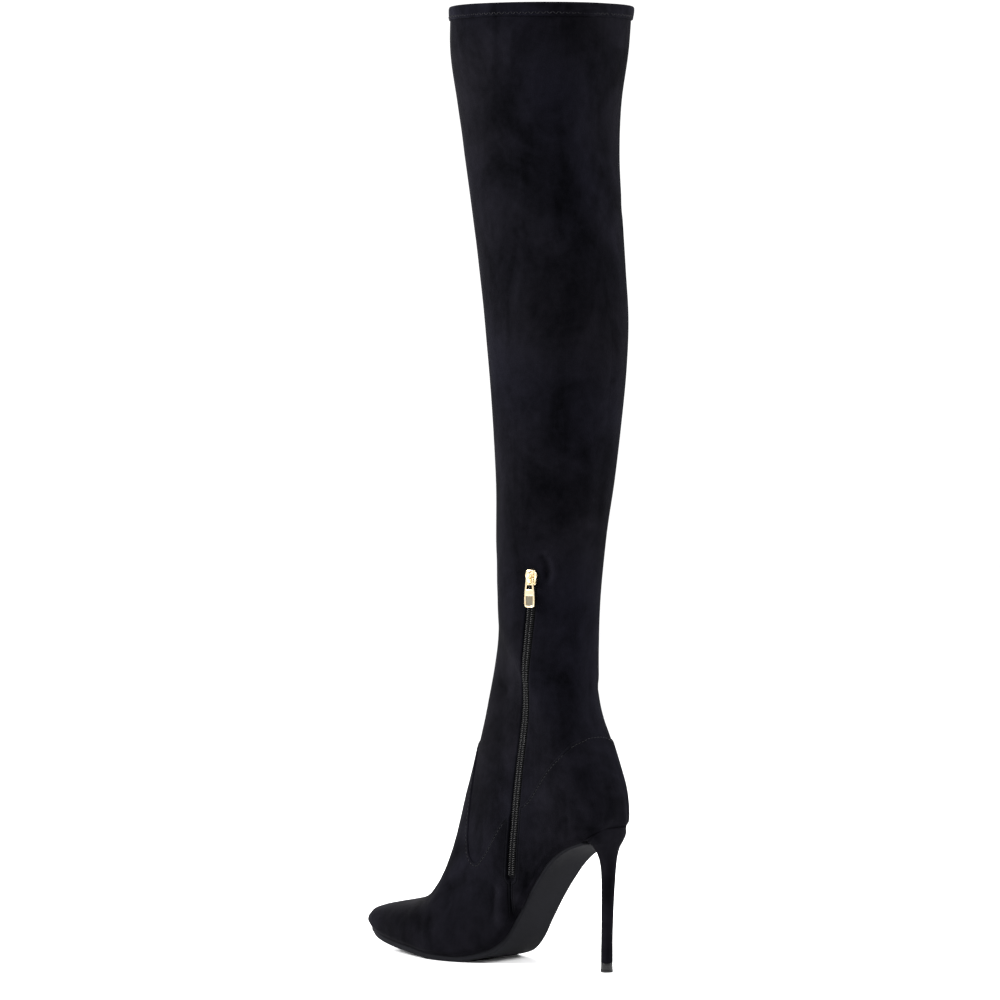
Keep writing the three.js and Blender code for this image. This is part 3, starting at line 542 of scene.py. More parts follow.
    def at_height(self, z: Array) -> Array:
        """Run s at which the shaft's level sections reach the heights z."""
        fine = np.linspace(self.length * 0.5, self.length, 600)
        return np.interp(z, self.line.at(fine)[:, 1], fine)

    def above_low(self, s: Array, side_view: Array) -> Array:
        """How far points of the surface, given in side view, lie from their section's low end."""
        low = self.line.at(np.maximum(s, 0.0))[:, 2:4]
        return np.linalg.norm(side_view - low, axis=1)


LAST = Last()


def net_faces(rows: int, columns: int, round_rows: bool = False, round_columns: bool = False) -> Array:
    """Triangles of a net of rows times columns vertices.

    Args:
        rows: vertices along the first parameter.
        columns: vertices along the second.
        round_rows: joins the last row to the first.
        round_columns: joins the last column to the first.

    Returns:
        Vertex numbers of shape (faces, 3).
    """
    i = np.arange(rows if round_rows else rows - 1)[:, None]
    j = np.arange(columns if round_columns else columns - 1)[None]
    a = i * columns + j
    b = i * columns + (j + 1) % columns
    c = ((i + 1) % rows) * columns + (j + 1) % columns
    d = ((i + 1) % rows) * columns + j
    return np.concatenate([np.stack([a, b, c], axis=-1), np.stack([a, c, d], axis=-1)]).reshape(-1, 3)


@dataclass
class Form:
    """Vertices and triangles of a surface, and numbers kept at its vertices."""

    points: Array
    faces: Array
    marks: dict[str, Array] = field(default_factory=dict)

    @classmethod
    def net(cls, points: Array, round_rows: bool = False, round_columns: bool = False) -> "Form":
        """A form from points of shape (rows, columns, 3)."""
        rows, columns = points.shape[:2]
        return cls(points.reshape(-1, 3), net_faces(rows, columns, round_rows, round_columns))

    @classmethod
    def of_all(cls, forms: Sequence["Form"]) -> "Form":
        """One form with the vertices and faces of all."""
        before = np.cumsum([0] + [len(f.points) for f in forms[:-1]])
        faces = np.vstack([f.faces + k for f, k in zip(forms, before)])
        marks = {
            name: np.concatenate([f.marks[name] for f in forms])
            for name in forms[0].marks
        }
        return cls(np.vstack([f.points for f in forms]), faces, marks)

    def merged(self) -> "Form":
        """Joins vertices that lie within a tenth of a micrometre, and drops faces without area."""
        keys = np.round(self.points / 1e-7).astype(np.int64)
        _, first, back = np.unique(keys, axis=0, return_index=True, return_inverse=True)
        faces = back.ravel()[self.faces]
        real = (faces[:, 0] != faces[:, 1]) & (faces[:, 1] != faces[:, 2]) & (faces[:, 2] != faces[:, 0])
        marks = {name: values[first] for name, values in self.marks.items()}
        return Form(self.points[first], faces[real], marks)

    def outward(self, inwards: bool = False) -> "Form":
        """Turns the faces so that the volume they enclose is positive, or negative if inwards."""
        middle = self.points.mean(axis=0)
        a, b, c = (self.points[self.faces[:, k]] - middle for k in range(3))
        volume = np.einsum("ij,ij->i", a, np.cross(b, c)).sum()
        if (volume < 0) != inwards:
            return Form(self.points, self.faces[:, ::-1], self.marks)
        return self

    def shown(self, name: str, finish: "Finish") -> bpy.types.Object:
        """Makes the form an object of the scene.

        Args:
            name: the object's name.
            finish: its finish.

        Returns:
            The object, at the origin.
        """
        form = self.merged()
        mesh = bpy.data.meshes.new(name)
        mesh.from_pydata(form.points.tolist(), [], form.faces.tolist())
        for mark, values in form.marks.items():
            attribute = mesh.attributes.new(mark, "FLOAT", "POINT")
            attribute.data.foreach_set("value", values.astype(np.float32))
        mesh.polygons.foreach_set("use_smooth", np.ones(len(mesh.polygons), dtype=bool))
        mesh.materials.append(finish.material())
        mesh.update()
        thing = bpy.data.objects.new(name, mesh)
        bpy.context.scene.collection.objects.link(thing)
        return thing

    def placed(
        self,
        name: str,
        finish: "Finish",
        slot: str,
        body: str = "boot",
        stands_for: Sequence[str] = (),
    ) -> None:
        """Makes the form a piece of the part.

        Args:
            name: the piece's name.
            finish: its finish.
            slot: the record's material slot; not used.
            body: the body that it rides on.
            stands_for: CAD nodes that it replaces.
        """
        piece = self.shown(name, finish)
        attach(piece, body)
        if stands_for:
            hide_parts(*stands_for)
        log.info("%s: %d triangles", name, len(piece.data.polygons))


@dataclass
class Patch:
    """A net of triangles over places (s, w) of the last, with further values at the vertices."""

    values: dict[str, Array]
    faces: Array
    shape: tuple[int, int]

    @classmethod
    def over(cls, s: Array, w: Array) -> "Patch":
        """The patch whose rows are at s and whose columns are at w."""
        grid_s, grid_w = np.meshgrid(s, w, indexing="ij")
        values = {"s": grid_s.ravel(), "w": grid_w.ravel()}
        return cls(values, net_faces(len(s), len(w)), (len(s), len(w)))

    def side_view(self) -> Array:
        """Points (x, z) of the vertices on the bare last."""
        return LAST.point(self.values["s"], self.values["w"])[:, [0, 2]]

    def on_surface(self, distance: Array) -> Array:
        """Turns a distance seen in side view into one along the surface.

        It is divided by the length of its gradient on the surface, which comes from the two
        tangents of the net: (G·fi² − 2F·fi·fj + E·fj²)/(E·G − F²).

        Args:
            distance: distance in side view at every vertex.

        Returns:
            Distance along the surface at every vertex.
        """
        points = LAST.point(self.values["s"], self.values["w"]).reshape(*self.shape, 3)
        value = distance.reshape(self.shape)
        pi, pj = np.gradient(points, axis=0), np.gradient(points, axis=1)
        fi, fj = np.gradient(value, axis=0), np.gradient(value, axis=1)
        e, f, g = (pi * pi).sum(-1), (pi * pj).sum(-1), (pj * pj).sum(-1)
        slope = (g * fi**2 - 2 * f * fi * fj + e * fj**2) / np.maximum(e * g - f * f, 1e-18)
        return (value / np.clip(np.sqrt(np.maximum(slope, 0.0)), 0.3, 1.0)).ravel()

    def cut(self, name: str, level: float) -> "Patch":
        """Splits every triangle that a level of a value crosses.

        A corner alone on its side of the level, or one that lies on it, is turned to the front.
        Its triangle becomes three, or two, with the new vertices where the level crosses the
        edges.

        Args:
            name: the value.
            level: the level.

        Returns:
            The patch with the split triangles.
        """
        gap = self.values[name] - level
        gap = np.where(np.abs(gap) < 1e-7, 0.0, gap)
        at = gap[self.faces]
        crossed = (at.min(axis=1) < 0) & (at.max(axis=1) > 0)
        if not crossed.any():
            return self
        whole, faces, at = self.faces[~crossed], self.faces[crossed], at[crossed]
        on_level = (at == 0).any(axis=1)
        sign = np.sign(at)
        lone = np.argmax(sign == -np.sign(sign.sum(axis=1, keepdims=True)), axis=1)
        first = np.where(on_level, np.argmax(at == 0, axis=1), lone)
        order = (first[:, None] + np.arange(3)) % 3
        faces = np.take_along_axis(faces, order, axis=1)
        three, two = faces[~on_level], faces[on_level]
        edges = np.sort(np.vstack([three[:, [0, 1]], three[:, [0, 2]], two[:, [1, 2]]]), axis=1)
        pairs, back = np.unique(edges, axis=0, return_inverse=True)
        a, b = pairs[:, 0], pairs[:, 1]
        share = gap[a] / (gap[a] - gap[b])
        values = {
            key: np.concatenate([v, v[a] + (v[b] - v[a]) * share]) for key, v in self.values.items()
        }
        values[name][len(gap):] = level
        new = back.ravel() + len(gap)
        m, n, k = new[: len(three)], new[len(three): 2 * len(three)], new[2 * len(three):]
        made = [
            whole,
            np.stack([three[:, 0], m, n], axis=1),
            np.stack([m, three[:, 1], three[:, 2]], axis=1),
            np.stack([m, three[:, 2], n], axis=1),
            np.stack([two[:, 0], two[:, 1], k], axis=1),
            np.stack([two[:, 0], k, two[:, 2]], axis=1),
        ]
        return Patch(values, np.vstack(made), (0, 0))

    def kept(self, name: str, level: float) -> "Patch":
        """Keeps the triangles above a level, and only their vertices."""
        above = (self.values[name][self.faces].mean(axis=1) - level) > 0
        faces = self.faces[above]
        used, back = np.unique(faces, return_inverse=True)
        values = {key: v[used] for key, v in self.values.items()}
        return Patch(values, back.reshape(faces.shape), (0, 0))

    def form(self, off: Array, marks: Sequence[str] = ()) -> Form:
        """The form that the patch takes on the last at an offset."""
        points = LAST.point(self.values["s"], self.values["w"], off)
        return Form(points, self.faces, {name: self.values[name] for name in marks})


def columns(count: int) -> Array:
    """Places round a section, closer together at the front line and at the low line."""
    half = np.concatenate(
        [
            [0.0, 0.0015, 0.004, 0.0075, 0.012, 0.018],
            np.linspace(0.026, 0.945, count),
            [0.957, 0.968, 0.979, 0.989, 0.995, 1.0],
        ]
    )
    return np.concatenate([-half[:0:-1], half])


def dome_rows(count: int = 6) -> Array:
    """Runs of the rings that close the nose."""
    return -LAST.nose_reach * np.linspace(1.0, 0.0, count, endpoint=False)


def tubes(paths: Array, across: Array, up: Array, radii: Array, sides: int) -> Form:
    """Round bars carried along many short paths at once.

    Each ring is centre + radius·(across·cos t + up·sin t). Rings of no radius close the ends.

    Args:
        paths: centres of shape (bars, stations, 3).
        across: first ring direction, of the same shape.
        up: second ring direction, of the same shape.
        radii: radius at each station, of shape (stations,).
        sides: points round a ring.

    Returns:
        One form with all the bars.
    """
    turn = turns(sides)[None, None, :, None]
    ring = across[:, :, None] * np.cos(turn) + up[:, :, None] * np.sin(turn)
    points = paths[:, :, None] + ring * radii[None, :, None, None]
    bars, stations = paths.shape[:2]
    one = Form(points[0].reshape(-1, 3), net_faces(stations, sides, round_columns=True)).outward()
    shift = np.arange(bars)[:, None, None] * stations * sides
    return Form(points.reshape(-1, 3), (one.faces[None] + shift).reshape(-1, 3))


@dataclass(frozen=True)
class Trail:
    """A path on the boot's skin with the outward direction at each point."""

    points: Array
    normals: Array

    @cached_property
    def run(self) -> Array:
        """Length of the path up to each point."""
        return run_along(self.points)

    def read(self, values: Array, run: Array) -> Array:
        """Vectors kept along the path, read at lengths."""
        return np.stack([np.interp(run, self.run, column) for column in values.T], axis=-1)

    def at(self, run: Array, step: float = 5e-4) -> tuple[Array, Array, Array, Array]:
        """The path and its directions at lengths.

        Args:
            run: lengths along the path, of any shape.
            step: length ahead and behind from which the direction along is taken.

        Returns:
            Point, direction along, direction across and outward direction.
        """
        normal = unit(self.read(self.normals, run))
        along = unit(self.read(self.points, run + step) - self.read(self.points, run - step))
        return self.read(self.points, run), along, unit(np.cross(normal, along)), normal


@dataclass(frozen=True)
class Stitching:
    """A row of stitches sunk at both ends into what they sew."""

    pitch: float = 0.0029
    length: float = 0.0023
    radius: float = 0.00017
    swing: float = 0.0
    rise: float = 0.00016
    sides: int = 5

    def row(self, trail: Trail) -> Form:
        """The stitches along a trail.

        Each is a bar whose middle rises over the skin. With a swing, its ends lie on either
        side of the path by turns, which makes a zigzag.

        Args:
            trail: the stitch line.

        Returns:
            One form with all the stitches.
        """
        count = max(1, int(trail.run[-1] / self.pitch) - 1)
        start = (np.arange(count) + 0.5) * self.pitch
        share = np.array([0.0, 0.08, 0.34, 0.66, 0.92, 1.0])
        height = np.array([-1.0, -0.3, 0.95, 0.95, -0.3, -1.0]) * self.rise
        radii = np.array([0.0, 0.8, 1.05, 1.05, 0.8, 0.0]) * self.radius
        point, along, across, normal = trail.at(start[:, None] + share[None] * self.length)
        side = np.where(np.arange(count) % 2 == 0, 1.0, -1.0)[:, None]
        sideways = side * (1 - 2 * share[None]) * self.swing
        centre = point + across * sideways[..., None] + normal * height[None, :, None]
        ring = unit(across * self.length + along * (2 * side * self.swing)[..., None])
        return tubes(centre, ring, normal, radii, self.sides)


@dataclass(frozen=True)
class Crease:
    """A soft trough or ridge along a line of the side view.

    Attributes:
        path: points in millimetres ahead of the heel tip and over the floor.
        side: the side of the leg.
        height: how far it stands out, or sinks if negative, in millimetres.
        width: its half width in millimetres.
    """

    path: Pairs
    side: Side
    height: float
    width: float

    def over(self, side_view: Array, w: Array) -> Array:
        """Offsets of points given in side view: height·exp(−(d/width)²), faded at the ends."""
        line = through(LAST.from_tip(self.path), 0.0015)
        gap, share = from_line(side_view, line)
        fade = ease(share, 0.0, 0.25) * (1 - ease(share, 0.75, 1.0))
        mask = 1.0 if self.side is Side.BOTH else ease(w * self.side.value, 0.02, 0.12)
        return self.height * MM * dip(gap, self.width * MM) * fade * mask


CREASES: tuple[Crease, ...] = (
    # Fold round the slider and the puff behind it
    Crease(((34, 272), (29.5, 266), (28.5, 258), (31, 250)), Side.INNER, -1.1, 1.8),
    Crease(((33, 275), (26, 269), (24.5, 259), (27, 249)), Side.INNER, 0.9, 1.5),
    # Fold below the foot of the zip, with a puff on either side
    Crease(((62.5, 60), (64.5, 50), (64, 38), (64, 26)), Side.INNER, -0.7, 1.6),
    Crease(((71, 58), (72, 46), (73, 34), (74, 24)), Side.INNER, 1.2, 3.8),
    Crease(((76.5, 56), (77, 47), (77, 38), (78, 30)), Side.INNER, -0.7, 1.8),
    Crease(((56, 52), (57, 44), (58, 37)), Side.INNER, 0.9, 3.6),
    # Bend of the foot ahead of the panel's point
    Crease(((99, 58), (108, 52), (118, 47)), Side.INNER, -0.9, 3),
    Crease(((103, 69), (111, 62), (120, 56)), Side.INNER, 0.7, 3.4),
    Crease(((104, 80), (110, 74), (117, 68)), Side.INNER, -0.6, 2.6),
    Crease(((127, 49), (131, 43), (138, 36)), Side.BOTH, -0.5, 2.8),
    # Hollows low on the vamp
    Crease(((120, 28), (131, 24), (142, 22)), Side.INNER, -0.7, 5),
    Crease(((150, 30), (157, 25), (165, 22)), Side.BOTH, -0.4, 4.5),
    # Shank: short folds that run down to the sole
    Crease(((47, 66), (50, 58), (54, 51)), Side.INNER, -0.6, 2.2),
    Crease(((33, 84), (38, 77), (43, 71)), Side.INNER, -0.5, 2.4),
    Crease(((12, 103), (18, 96), (25, 91)), Side.INNER, -0.6, 3),
    # Heel of the counter
    Crease(((-6, 96), (2, 94), (10, 96)), Side.BOTH, -0.6, 2.4),
    Crease(((-4, 141), (-6, 128), (-7, 114)), Side.INNER, -0.4, 1.6),
    Crease(((0, 138), (-2, 124), (-2, 110)), Side.INNER, 0.4, 2.6),
    # Ankle: level folds of the stretch cloth
    Crease(((16, 196), (24, 190), (33, 188)), Side.INNER, -0.6, 4),
    Crease(((80, 190), (72, 182), (66, 178)), Side.INNER, -0.3, 4.4),
    Crease(((14, 216), (26, 211), (36, 212)), Side.INNER, -0.4, 4),
    Crease(((12, 188), (24, 180), (38, 176)), Side.OUTER, -0.7, 4),
    Crease(((84, 182), (74, 172), (62, 166)), Side.OUTER, -0.8, 4),
    Crease(((86, 164), (78, 154), (68, 148)), Side.OUTER, -0.6, 3.6),
    Crease(((98, 128), (92, 116), (84, 108)), Side.OUTER, -0.6, 3.6),
    Crease(((103, 60), (112, 54), (122, 50)), Side.OUTER, -0.8, 3.2),
    Crease(((106, 76), (113, 70), (121, 64)), Side.OUTER, 0.6, 3.4),
    Crease(((74, 44), (80, 32), (88, 22)), Side.OUTER, -0.6, 2.6),
    Crease(((54, 58), (60, 46), (66, 36)), Side.OUTER, -0.6, 2.6),
    # Long soft waves of the shaft
    Crease(((20, 566), (34, 563), (48, 566)), Side.INNER, -0.4, 2.2),
    Crease(((62, 300), (64, 350), (67, 400), (72, 440)), Side.INNER, 0.8, 12),
    Crease(((30, 300), (22, 350), (14, 400), (16, 450)), Side.INNER, -0.6, 14),
    Crease(((28, 470), (36, 500), (40, 540)), Side.INNER, -0.7, 15),
    Crease(((70, 470), (80, 500), (88, 550)), Side.INNER, 0.6, 13),
    Crease(((60, 300), (66, 350), (72, 420)), Side.OUTER, 0.8, 12),
    Crease(((30, 320), (22, 380), (20, 440)), Side.OUTER, -0.7, 14),
    Crease(((60, 470), (72, 510), (84, 560)), Side.OUTER, -0.6, 15),
    Crease(((6, 500), (20, 494), (36, 498)), Side.BOTH, -0.4, 6),
)


def relief(side_view: Array, w: Array) -> Array:
    """Sum of all creases at points given in side view."""
    return sum((crease.over(side_view, w) for crease in CREASES), np.zeros(len(w)))


class Graph:
    """A node tree with short ways to add and join nodes."""

    def __init__(self, tree: Tree) -> None:
        """Keeps the tree.

        Args:
            tree: the node tree of a material or a group.
        """
        self.tree = tree

    def add(self, kind: str, **settings: object) -> Node:
        """Adds a node.

        Args:
            kind: the node's type name.
            settings: its properties, by name.

        Returns:
            The node.
        """
        node = self.tree.nodes.new(kind)
        for name, value in settings.items():
            setattr(node, name, value)
        return node

    def feed(self, target: Socket, value: object) -> None:
        """Joins a socket to an input, or sets the input to a number or a colour."""
        if isinstance(value, Socket):
            self.tree.links.new(value, target)
        else:
            target.default_value = value

    def feed_all(self, node: Node, values: dict[str, object]) -> None:
        """Feeds a node's inputs, by name."""
        for name, value in values.items():
            self.feed(node.inputs[name], value)

    def bump(self, shader: Node, height: object, strength: float, distance: float) -> None:
        """Raises a shader's face.

        Args:
            shader: the shader.
            height: the relief.
            strength: share of the relief that shows.
            distance: metres that a relief of 1 stands for.
        """
        node = self.add("ShaderNodeBump")
        self.feed_all(node, {"Strength": strength, "Distance": distance, "Height": height})
        self.feed(shader.inputs["Normal"], node.outputs["Normal"])

    def sum_of(
        self, kind: str, first: object, second: object = 0.0, third: object = 0.0
    ) -> Socket:
        """Adds a Math node and gives its result."""
        node = self.add("ShaderNodeMath", operation=kind)
        for socket, value in zip(node.inputs, (first, second, third)):
            self.feed(socket, value)
        return node.outputs[0]

    def remap(
        self,
        value: object,
        low: float,
        high: float,
        to_low: float = 0.0,
        to_high: float = 1.0,
        soft: bool = False,
    ) -> Socket:
        """Maps a range of a value onto another, held at both ends.

        Args:
            value: what is mapped.
            low: start of its range.
            high: end of its range.
            to_low: result at the start.
            to_high: result at the end.
            soft: eases in and out.

        Returns:
            The result.
        """
        node = self.add("ShaderNodeMapRange", interpolation_type="SMOOTHSTEP" if soft else "LINEAR")
        ends = {"From Min": low, "From Max": high, "To Min": to_low, "To Max": to_high}
        self.feed_all(node, {"Value": value, **ends})
        return node.outputs["Result"]

    def mix(self, share: object, first: object, second: object) -> Socket:
        """Mixes two colours, each a socket or a tuple of red, green and blue."""
        node = self.add("ShaderNodeMix", data_type="RGBA")
        self.feed(node.inputs["Factor"], share)
        for name, value in (("A", first), ("B", second)):
            socket = next(s for s in node.inputs if s.name == name and s.type == "RGBA")
            self.feed(socket, (*value, 1.0) if isinstance(value, tuple) else value)
        return next(s for s in node.outputs if s.type == "RGBA")

    def noise(
        self, vector: object, scale: object, detail: float = 2.0, rough: float = 0.5, warp: float = 0.0
    ) -> Socket:
        """Adds a noise texture and gives its value."""
        node = self.add("ShaderNodeTexNoise")
        grain = {"Scale": scale, "Detail": detail, "Roughness": rough, "Distortion": warp}
        self.feed_all(node, {"Vector": vector, **grain})
        return node.outputs["Fac"]

    def stretched(self, vector: object, scale: tuple[float, float, float]) -> Socket:
        """Scales a vector along its axes."""
        node = self.add("ShaderNodeMapping")
        self.feed_all(node, {"Vector": vector, "Scale": scale})
        return node.outputs["Vector"]

    def mark(self, name: str) -> Socket:
        """Reads a number kept at the vertices."""
        return self.add("ShaderNodeAttribute", attribute_name=name).outputs["Fac"]

    def place(self, group: Tree, **inputs: object) -> Node:
        """Places a group and feeds its inputs."""
        node = self.add("ShaderNodeGroup", node_tree=group)
        self.feed_all(node, inputs)
        return node


FLOAT = "NodeSocketFloat"
VECTOR = "NodeSocketVector"


class Effects:
    """Effects that several finishes use, each a node group that is built once."""

    @staticmethod
    def start(
        name: str, inputs: dict[str, str], outputs: Sequence[str]
    ) -> tuple[Graph, dict[str, Socket], Node]:
        """Starts a group.

        Args:
            name: the group's name.
            inputs: its input sockets and their types.
            outputs: its output sockets, all plain numbers.

        Returns:
            Its graph, its inputs by name, and its output node.
        """
        tree = bpy.data.node_groups.new(name, "ShaderNodeTree")
        for label, kind in inputs.items():
            tree.interface.new_socket(name=label, in_out="INPUT", socket_type=kind)
        for label in outputs:
            tree.interface.new_socket(name=label, in_out="OUTPUT", socket_type=FLOAT)
        graph = Graph(tree)
        entry = graph.add("NodeGroupInput")
        return graph, {label: entry.outputs[label] for label in inputs}, graph.add("NodeGroupOutput")

    @cached_property
    def nap(self) -> Tree:
        """Napped cloth: soft blotches where the pile lies another way, brush marks, and fibres.

        Blotches, brush marks stretched along the leg and a finer mottle are weighed and added.
        """
        graph, given, out = self.start(
            "nap", {"Vector": VECTOR, "Blotch": FLOAT, "Fibre": FLOAT}, ("Shade", "Height", "Tint")
        )
        vector = given["Vector"]
        blotch = graph.noise(vector, given["Blotch"], 4.0, 0.6, 0.6)
        brush = graph.noise(graph.stretched(vector, (1.0, 1.0, 0.34)), 58.0, 4.0, 0.6, 0.8)
        mottle = graph.noise(vector, 210.0, 3.0, 0.6, 0.2)
        fibre = graph.noise(vector, given["Fibre"], 2.0, 0.6)
        soft = graph.remap(blotch, 0.36, 0.64, soft=True)
        lines = graph.remap(brush, 0.36, 0.66)
        small = graph.remap(mottle, 0.3, 0.7)
        first = graph.sum_of("MULTIPLY_ADD", soft, 0.5, graph.sum_of("MULTIPLY", lines, 0.3))
        height = graph.sum_of("MULTIPLY_ADD", fibre, 0.55, graph.sum_of("MULTIPLY", mottle, 0.45))
        tint = graph.remap(graph.noise(vector, 9.0, 1.0), 0.35, 0.65)
        shade = graph.sum_of("MULTIPLY_ADD", small, 0.2, first)
        graph.feed_all(out, {"Shade": shade, "Height": height, "Tint": tint})
        return graph.tree

    @cached_property
    def groove(self) -> Tree:
        """A seam line: 1 in the line, 0 beyond its width, from a distance kept at the vertices."""
        graph, given, out = self.start("groove", {"Gap": FLOAT, "Width": FLOAT}, ("Mask", "Puff"))
        share = graph.sum_of("DIVIDE", given["Gap"], given["Width"])
        mask = graph.remap(share, 0.0, 1.0, 1.0, 0.0, soft=True)
        puff = graph.remap(share, 1.0, 4.0, 1.0, 0.0, soft=True)
        graph.feed_all(out, {"Mask": mask, "Puff": puff})
        return graph.tree

    @cached_property
    def handling(self) -> Tree:
        """Marks of handling on a smooth face: clouds, fine scratches and dust."""
        graph, given, out = self.start(
            "handling", {"Vector": VECTOR, "Scale": FLOAT}, ("Cloud", "Scratch", "Dust")
        )
        vector = given["Vector"]
        cloud = graph.remap(graph.noise(vector, given["Scale"], 4.0, 0.6, 0.5), 0.35, 0.65, soft=True)
        scratch = graph.noise(graph.stretched(vector, (1.0, 9.0, 1.0)), 420.0, 2.0, 0.5, 0.3)
        dust = graph.remap(graph.noise(vector, 1500.0, 1.0), 0.66, 0.74)
        graph.feed_all(out, {"Cloud": cloud, "Scratch": graph.remap(scratch, 0.62, 0.7), "Dust": dust})
        return graph.tree

    @cached_property
    def weave(self) -> Tree:
        """Plain weave from two sine waves across each other, sin(x) times sin(y)."""
        graph, given, out = self.start(
            "weave", {"Vector": VECTOR, "Threads": FLOAT}, ("Height", "Fluff")
        )
        parts = graph.add("ShaderNodeSeparateXYZ")
        graph.feed(parts.inputs[0], given["Vector"])
        level = graph.sum_of("ADD", parts.outputs["X"], parts.outputs["Y"])
        warp = graph.sum_of("SINE", graph.sum_of("MULTIPLY", level, given["Threads"]))
        weft = graph.sum_of("SINE", graph.sum_of("MULTIPLY", parts.outputs["Z"], given["Threads"]))
        height = graph.remap(graph.sum_of("MULTIPLY", warp, weft), -1.0, 1.0)
        graph.feed_all(out, {"Height": height, "Fluff": graph.noise(given["Vector"], 1900.0, 2.0)})
        return graph.tree


EFFECTS = Effects()
MADE: dict[str, bpy.types.Material] = {}


def shaded(colour: Colour, shares: Colour | float) -> Colour:
    """The colour times one share, or a share for each channel."""
    return tuple(float(v) for v in np.array(colour) * shares)


@dataclass(frozen=True)
class Finish:
    """A named finish. Each kind of finish fills in its own nodes."""

    name: str

    def dress(self, graph: Graph, shader: Node, place: Socket) -> None:
        """Fills the material's nodes in.

        Args:
            graph: the material's graph.
            shader: its Principled BSDF.
            place: object coordinates.
        """
        raise NotImplementedError

    def material(self) -> bpy.types.Material:
        """The finish as a material, built the first time that it is asked for."""
        if self.name in MADE:
            return MADE[self.name]
        made = bpy.data.materials.new(self.name)
        MADE[self.name] = made
        made.use_nodes = True
        made.node_tree.nodes.clear()
        graph = Graph(made.node_tree)
        out = graph.add("ShaderNodeOutputMaterial")
        shader = graph.add("ShaderNodeBsdfPrincipled")
        graph.feed(out.inputs["Surface"], shader.outputs["BSDF"])
        place = graph.add("ShaderNodeTexCoord").outputs["Object"]
        self.dress(graph, shader, place)
        return made


@dataclass(frozen=True)
class Suede(Finish):
    """Near black faux suede.

    Attributes:
        dark: colour where the pile lies away.
        light: colour where it lies towards the eye.
        seam: half width of the seam line, 0 for a piece that has none; a piece with a seam also gets
            painted shade, darker in its crease troughs and lighter on their ridges.
        blotch: size of the blotches, in blotches a metre.
        depth: height of the pile in metres.
    """

    dark: Colour = (0.0004, 0.0004, 0.0008)
    light: Colour = (0.0042, 0.0039, 0.0056)
    seam: float = 0.0
    blotch: float = 17.0
    depth: float = 0.00035

    def dress(self, graph: Graph, shader: Node, place: Socket) -> None:
        """Blotched colour and roughness, raised by the pile and sunk along the seams; on sewn pieces
        painted shade darkens the crease troughs and painted light brightens their ridges.
        """
        nap = graph.place(EFFECTS.nap, Vector=place, Blotch=self.blotch, Fibre=1500.0)
        light = graph.mix(nap.outputs["Tint"], self.light, shaded(self.light, (0.86, 0.9, 1.08)))
        shade, height = nap.outputs["Shade"], nap.outputs["Height"]
        if self.seam > 0.0:
            # Painted shade and light: the crease height darkens the colour in troughs and lightens it on
            # ridges
            shade = graph.sum_of("MULTIPLY_ADD", graph.mark("fold"), 0.32, shade)
            shade = graph.remap(shade, 0.0, 1.3, 0.0, 1.3)
        colour = graph.mix(shade, self.dark, light)
        if self.seam > 0.0:
            groove = graph.place(EFFECTS.groove, Gap=graph.mark("seam_gap"), Width=self.seam)
            mask = groove.outputs["Mask"]
            colour = graph.mix(graph.sum_of("MULTIPLY", mask, 0.8), colour, (0.0012, 0.0012, 0.0016))
            raised = graph.sum_of("MULTIPLY_ADD", groove.outputs["Puff"], 0.5, height)
            height = graph.sum_of("MULTIPLY_ADD", mask, -2.0, raised)
        graph.bump(shader, height, 0.6, self.depth)
        rough = graph.remap(nap.outputs["Shade"], 0.0, 1.0, 0.96, 0.84)
        sheen = {"Sheen Weight": 0.007, "Sheen Roughness": 0.45, "Sheen Tint": (0.90, 0.88, 1.0, 1.0)}
        graph.feed_all(
            shader, {"Base Color": colour, "Roughness": rough, "Specular IOR Level": 0.02, **sheen}
        )


@dataclass(frozen=True)
class Thread(Finish):
    """Twisted sewing thread, a little brighter than the cloth."""

    colour: Colour = (0.0105, 0.0101, 0.0126)

    def dress(self, graph: Graph, shader: Node, place: Socket) -> None:
        """Fine twist as a stretched noise in height, and in colour as painted shade that darkens the
        twist's hollows.
        """
        twist = graph.noise(graph.stretched(place, (1.0, 1.0, 2.2)), 3200.0, 1.0)
        # Painted shade: the colour darkens where the twist sinks
        colour = graph.mix(graph.remap(twist, 0.4, 0.6), shaded(self.colour, 0.45), self.colour)
        rough = graph.remap(twist, 0.3, 0.7, 0.42, 0.62)
        graph.bump(shader, twist, 0.5, 0.0001)
        graph.feed_all(shader, {"Base Color": colour, "Roughness": rough, "Specular IOR Level": 0.12})


@dataclass(frozen=True)
class Smooth(Finish):
    """Smooth rubber, lacquer or moulded plastic with marks of handling.

    Attributes:
        colour: its colour.
        rough: roughness where it is clean.
        worn: roughness where it is clouded.
        clouds: size of the clouds, in clouds a metre.
        gloss: specular level.
        coat: weight of a clear coat.
        depth: height of its grain in metres.
    """

    colour: Colour
    rough: float
    worn: float
    clouds: float
    gloss: float
    coat: float = 0.0
    depth: float = 0.00006

    def dress(self, graph: Graph, shader: Node, place: Socket) -> None:
        """Clouded colour and roughness, with fine scratches and dust."""
        marks = graph.place(EFFECTS.handling, Vector=place, Scale=self.clouds)
        cloud, dust, scratch = (marks.outputs[name] for name in ("Cloud", "Dust", "Scratch"))
        pale = tuple(v * 1.5 + 0.006 for v in self.colour)
        colour = graph.mix(cloud, shaded(self.colour, 0.78), self.colour)
        colour = graph.mix(graph.sum_of("MULTIPLY", dust, 0.25), colour, pale)
        clouded = graph.remap(cloud, 0.0, 1.0, self.rough, self.worn)
        rough = graph.sum_of("MULTIPLY_ADD", scratch, 0.08, clouded)
        fine = graph.noise(place, 1400.0, 3.0, 0.6)
        graph.bump(shader, graph.sum_of("MULTIPLY_ADD", scratch, -0.6, fine), 0.5, self.depth)
        coat = {"Coat Weight": self.coat, "Coat Roughness": 0.12}
        graph.feed_all(
            shader, {"Base Color": colour, "Roughness": rough, "Specular IOR Level": self.gloss, **coat}
        )


